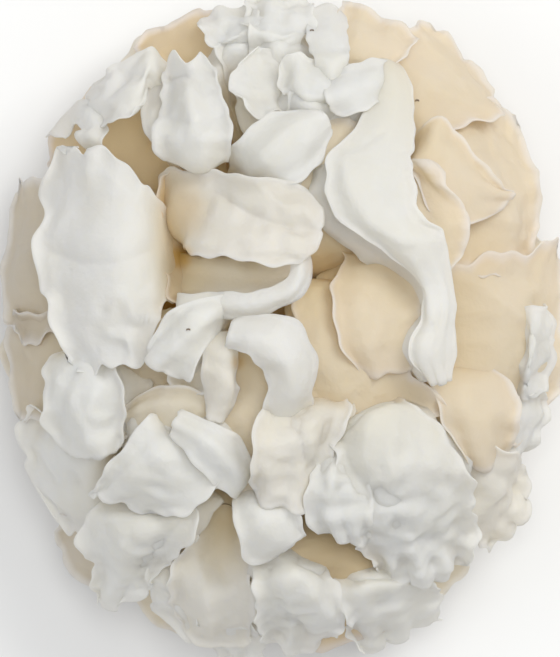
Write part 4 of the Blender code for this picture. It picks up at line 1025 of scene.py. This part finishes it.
def flesh(name, tint):
    """Dried jelly: pale and translucent, amber where it grows, whiter at the margins, partly as a
    painted rim highlight, and with painted shade in honey and amber in its hollows.
    """
    material, tree, shader = new_material(name, 0.58)
    colour = tint
    for source, (low, high, most), other in (
            (clouds(tree, 110, 4), PATCH_BAND, shade(tint, PATCH)),
            # Toward the root: partly own colour, partly painted shade of the valleys.
            (attribute(tree, "growth"), INNER_BAND, shade(tint, INNER)),
            # Partly a painted rim highlight.
            (attribute(tree, "rim"), MARGIN_BAND, MARGIN_WHITE),
            # Painted shade of the hollows.
            (attribute(tree, "painted_hollow_shade"), HOLLOW_SHADE_BAND, HONEY)):
        colour = mixed(tree, scaled(tree, ramp(tree, source, low, high), most), colour, other)
    young = ramp(tree, attribute(tree, "growth"), *YOUNG_BAND)
    colour = mixed(tree, young, colour, AMBER)
    # Painted shade of the middle's hole and hollows, in amber.
    colour = mixed(tree, attribute(tree, "hole_shade"), colour, AMBER)
    tree.links.new(colour, shader.inputs["Base Color"])
    settle(shader, {"Subsurface Weight": 0.35, "Subsurface Radius": (1.0, 0.86, 0.6),
                    "Subsurface Scale": 0.0022, "Specular IOR Level": 0.28})
    coarse = bump(tree, 230, 5, 0.5, 0.0011)
    fine = bump(tree, 900, 3, 0.35, 0.0003, coarse)
    tree.links.new(fine.outputs["Normal"], shader.inputs["Normal"])
    through = node(tree, "ShaderNodeBsdfTranslucent")
    glow = mixed(tree, young, shade(tint, GLOW), HONEY)
    tree.links.new(glow, through.inputs["Color"])
    both = node(tree, "ShaderNodeMixShader")
    both.inputs["Fac"].default_value = GLOW_SHARE
    tree.links.new(shader.outputs["BSDF"], both.inputs[1])
    tree.links.new(through.outputs["BSDF"], both.inputs[2])
    tree.links.new(both.outputs["Shader"], tree.nodes["Material Output"].inputs["Surface"])
    return material


def add_fronds():
    """Every frond's sheet in place of its solid."""
    materials = {tint: flesh("flesh_" + tint, colour) for tint, colour in TINTS.items()}
    finish = {name: (crumple, tint) for tint, names in CRUMPLE_BY_TINT.items()
              for name, crumple in names.items()}
    fronds = dict(FRONDS)
    fronds.update(skirt_lobes())
    made = []
    for number, (name, lobes) in enumerate(fronds.items()):
        crumple, tint = finish.get(name, PLAIN)
        root = root_of(lobes)
        grids = []
        for arm, lobe in enumerate(lobes):
            start = root - (root - CORE_CENTRE) * ARM_STEP * arm
            seed = number + ARM_SEED * arm
            lifted = 0 if arm else LIFTED.get(name, 0)
            grids.append(fine_grid(lobe, start, crumple, seed, name, lifted))
            if name not in SINGLE:
                grids.append(fine_grid(lobe, start, UNDER_CRUMPLE, seed + UNDER_SEED, under=True))
        piece = sheet_piece(name + "_sheet", grids)
        piece.data.materials.append(materials[tint])
        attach(piece, "root")
        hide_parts(name)
        made.append(piece)
    return made


def tube(points, radius):
    """Corners and faces of a thin four-sided rod through points."""
    spots = []
    faces = []
    for x, y, z in points:
        spots += [(x, y - radius, z), (x, y, z + radius), (x, y + radius, z), (x, y, z - radius)]
    for ring in range(len(points) - 1):
        for k in range(4):
            a, b = ring * 4 + k, ring * 4 + (k + 1) % 4
            faces.append((a, b, b + 4, a + 4))
    last = len(spots)
    faces += [(3, 2, 1, 0), (last - 4, last - 3, last - 2, last - 1)]
    return spots, faces


def add_dirt(pieces):
    """The hair and the specks, lying on the topmost frond below them."""
    trees = [BVHTree.FromPolygons([vert.co for vert in piece.data.vertices],
                                  [face.vertices for face in piece.data.polygons])
             for piece in pieces]
    (x0, y0), (x1, y1) = HAIR
    shares = [k / 6 for k in range(7)]
    strips = [[(x0 + (x1 - x0) * k, y0 + (y1 - y0) * k + HAIR_BEND * math.sin(math.pi * k))
               for k in shares]]
    for x, y in SPECKS:
        strips.append([(x, y), (x + SPECK_LENGTH / 2, y + 0.1), (x + SPECK_LENGTH, y)])
    points = []
    faces = []
    for number, strip in enumerate(strips):
        radius = HAIR_THICKNESS / 2 if number == 0 else HAIR_THICKNESS
        placed = []
        for x, y in strip:
            above = Vector((x * MM, y * MM, 0.1))
            hits = [tree.ray_cast(above, Vector((0, 0, -1)))[0] for tree in trees]
            top = max(hit.z for hit in hits if hit) / MM
            placed.append((x, y, top + radius * 1.2))
        more, quads = tube(placed, radius)
        faces += [tuple(index + len(points) for index in quad) for quad in quads]
        points += more
    mesh = bpy.data.meshes.new("hair_and_specks")
    mesh.from_pydata([tuple(c * MM for c in point) for point in points], [], faces)
    dirt = new_object("hair_and_specks", mesh)
    material, tree, shader = new_material("dark_dirt", 0.7)
    colour = mixed(tree, clouds(tree, 900, 2), DIRT, shade(DIRT, (1.6, 1.6, 1.6)))
    tree.links.new(colour, shader.inputs["Base Color"])
    mesh.materials.append(material)
    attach(dirt, "root")


def add_foot():
    """The foot's own look."""
    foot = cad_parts["foot"]
    material, tree, shader = new_material("foot_look", 0.62)
    colour = mixed(tree, clouds(tree, 160, 5), AMBER, HONEY)
    tree.links.new(colour, shader.inputs["Base Color"])
    tree.links.new(bump(tree, 300, 6, 0.5, 0.001).outputs["Normal"], shader.inputs["Normal"])
    for held in foot.material_slots:
        held.material = material


def add_camera():
    """The camera, looking straight down."""
    data = bpy.data.cameras.new("camera")
    data.sensor_fit = "VERTICAL"
    data.sensor_height = SENSOR
    data.lens = SENSOR * (CAMERA_HEIGHT - VIEW_LEVEL) / VIEW_HEIGHT
    camera = new_object("camera", data)
    camera.location = (0, 0, CAMERA_HEIGHT)
    bpy.context.scene.camera = camera


def add_light(name, place, size, power, colour):
    """Area light at a place, turned to the head."""
    data = bpy.data.lights.new(name, "AREA")
    data.size = size
    data.energy = power
    data.color = colour
    lamp = new_object(name, data)
    lamp.location = place
    lamp.rotation_euler = (Vector(LIGHT_AIM) - Vector(place)).to_track_quat("-Z", "Y").to_euler()


def add_room():
    """Floor, lights and view settings."""
    mesh = bpy.data.meshes.new("floor")
    signs = ((-1, -1), (1, -1), (1, 1), (-1, 1))
    mesh.from_pydata([(x * FLOOR_REACH, y * FLOOR_REACH, 0) for x, y in signs], [], [(0, 1, 2, 3)])
    floor = new_object("floor", mesh)
    material, _, shader = new_material("floor", 0.9)
    shader.inputs["Base Color"].default_value = (0.88, 0.88, 0.88, 1)
    mesh.materials.append(material)
    for light in LIGHTS:
        add_light(*light)
    world = bpy.data.worlds.new("room")
    world.use_nodes = True
    settle(world.node_tree.nodes["Background"], {"Color": ROOM_LIGHT, "Strength": ROOM_POWER})
    scene = bpy.context.scene
    scene.world = world
    scene.view_settings.view_transform = "Standard"
    scene.view_settings.gamma = GAMMA


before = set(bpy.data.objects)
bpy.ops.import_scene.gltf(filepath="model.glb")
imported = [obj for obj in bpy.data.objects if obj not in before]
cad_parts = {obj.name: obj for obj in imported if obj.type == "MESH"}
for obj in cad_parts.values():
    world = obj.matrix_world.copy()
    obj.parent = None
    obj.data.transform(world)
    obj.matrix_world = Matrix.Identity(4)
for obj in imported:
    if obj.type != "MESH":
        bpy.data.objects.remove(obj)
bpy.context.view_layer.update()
add_camera()
add_room()
add_foot()
add_dirt(add_fronds())
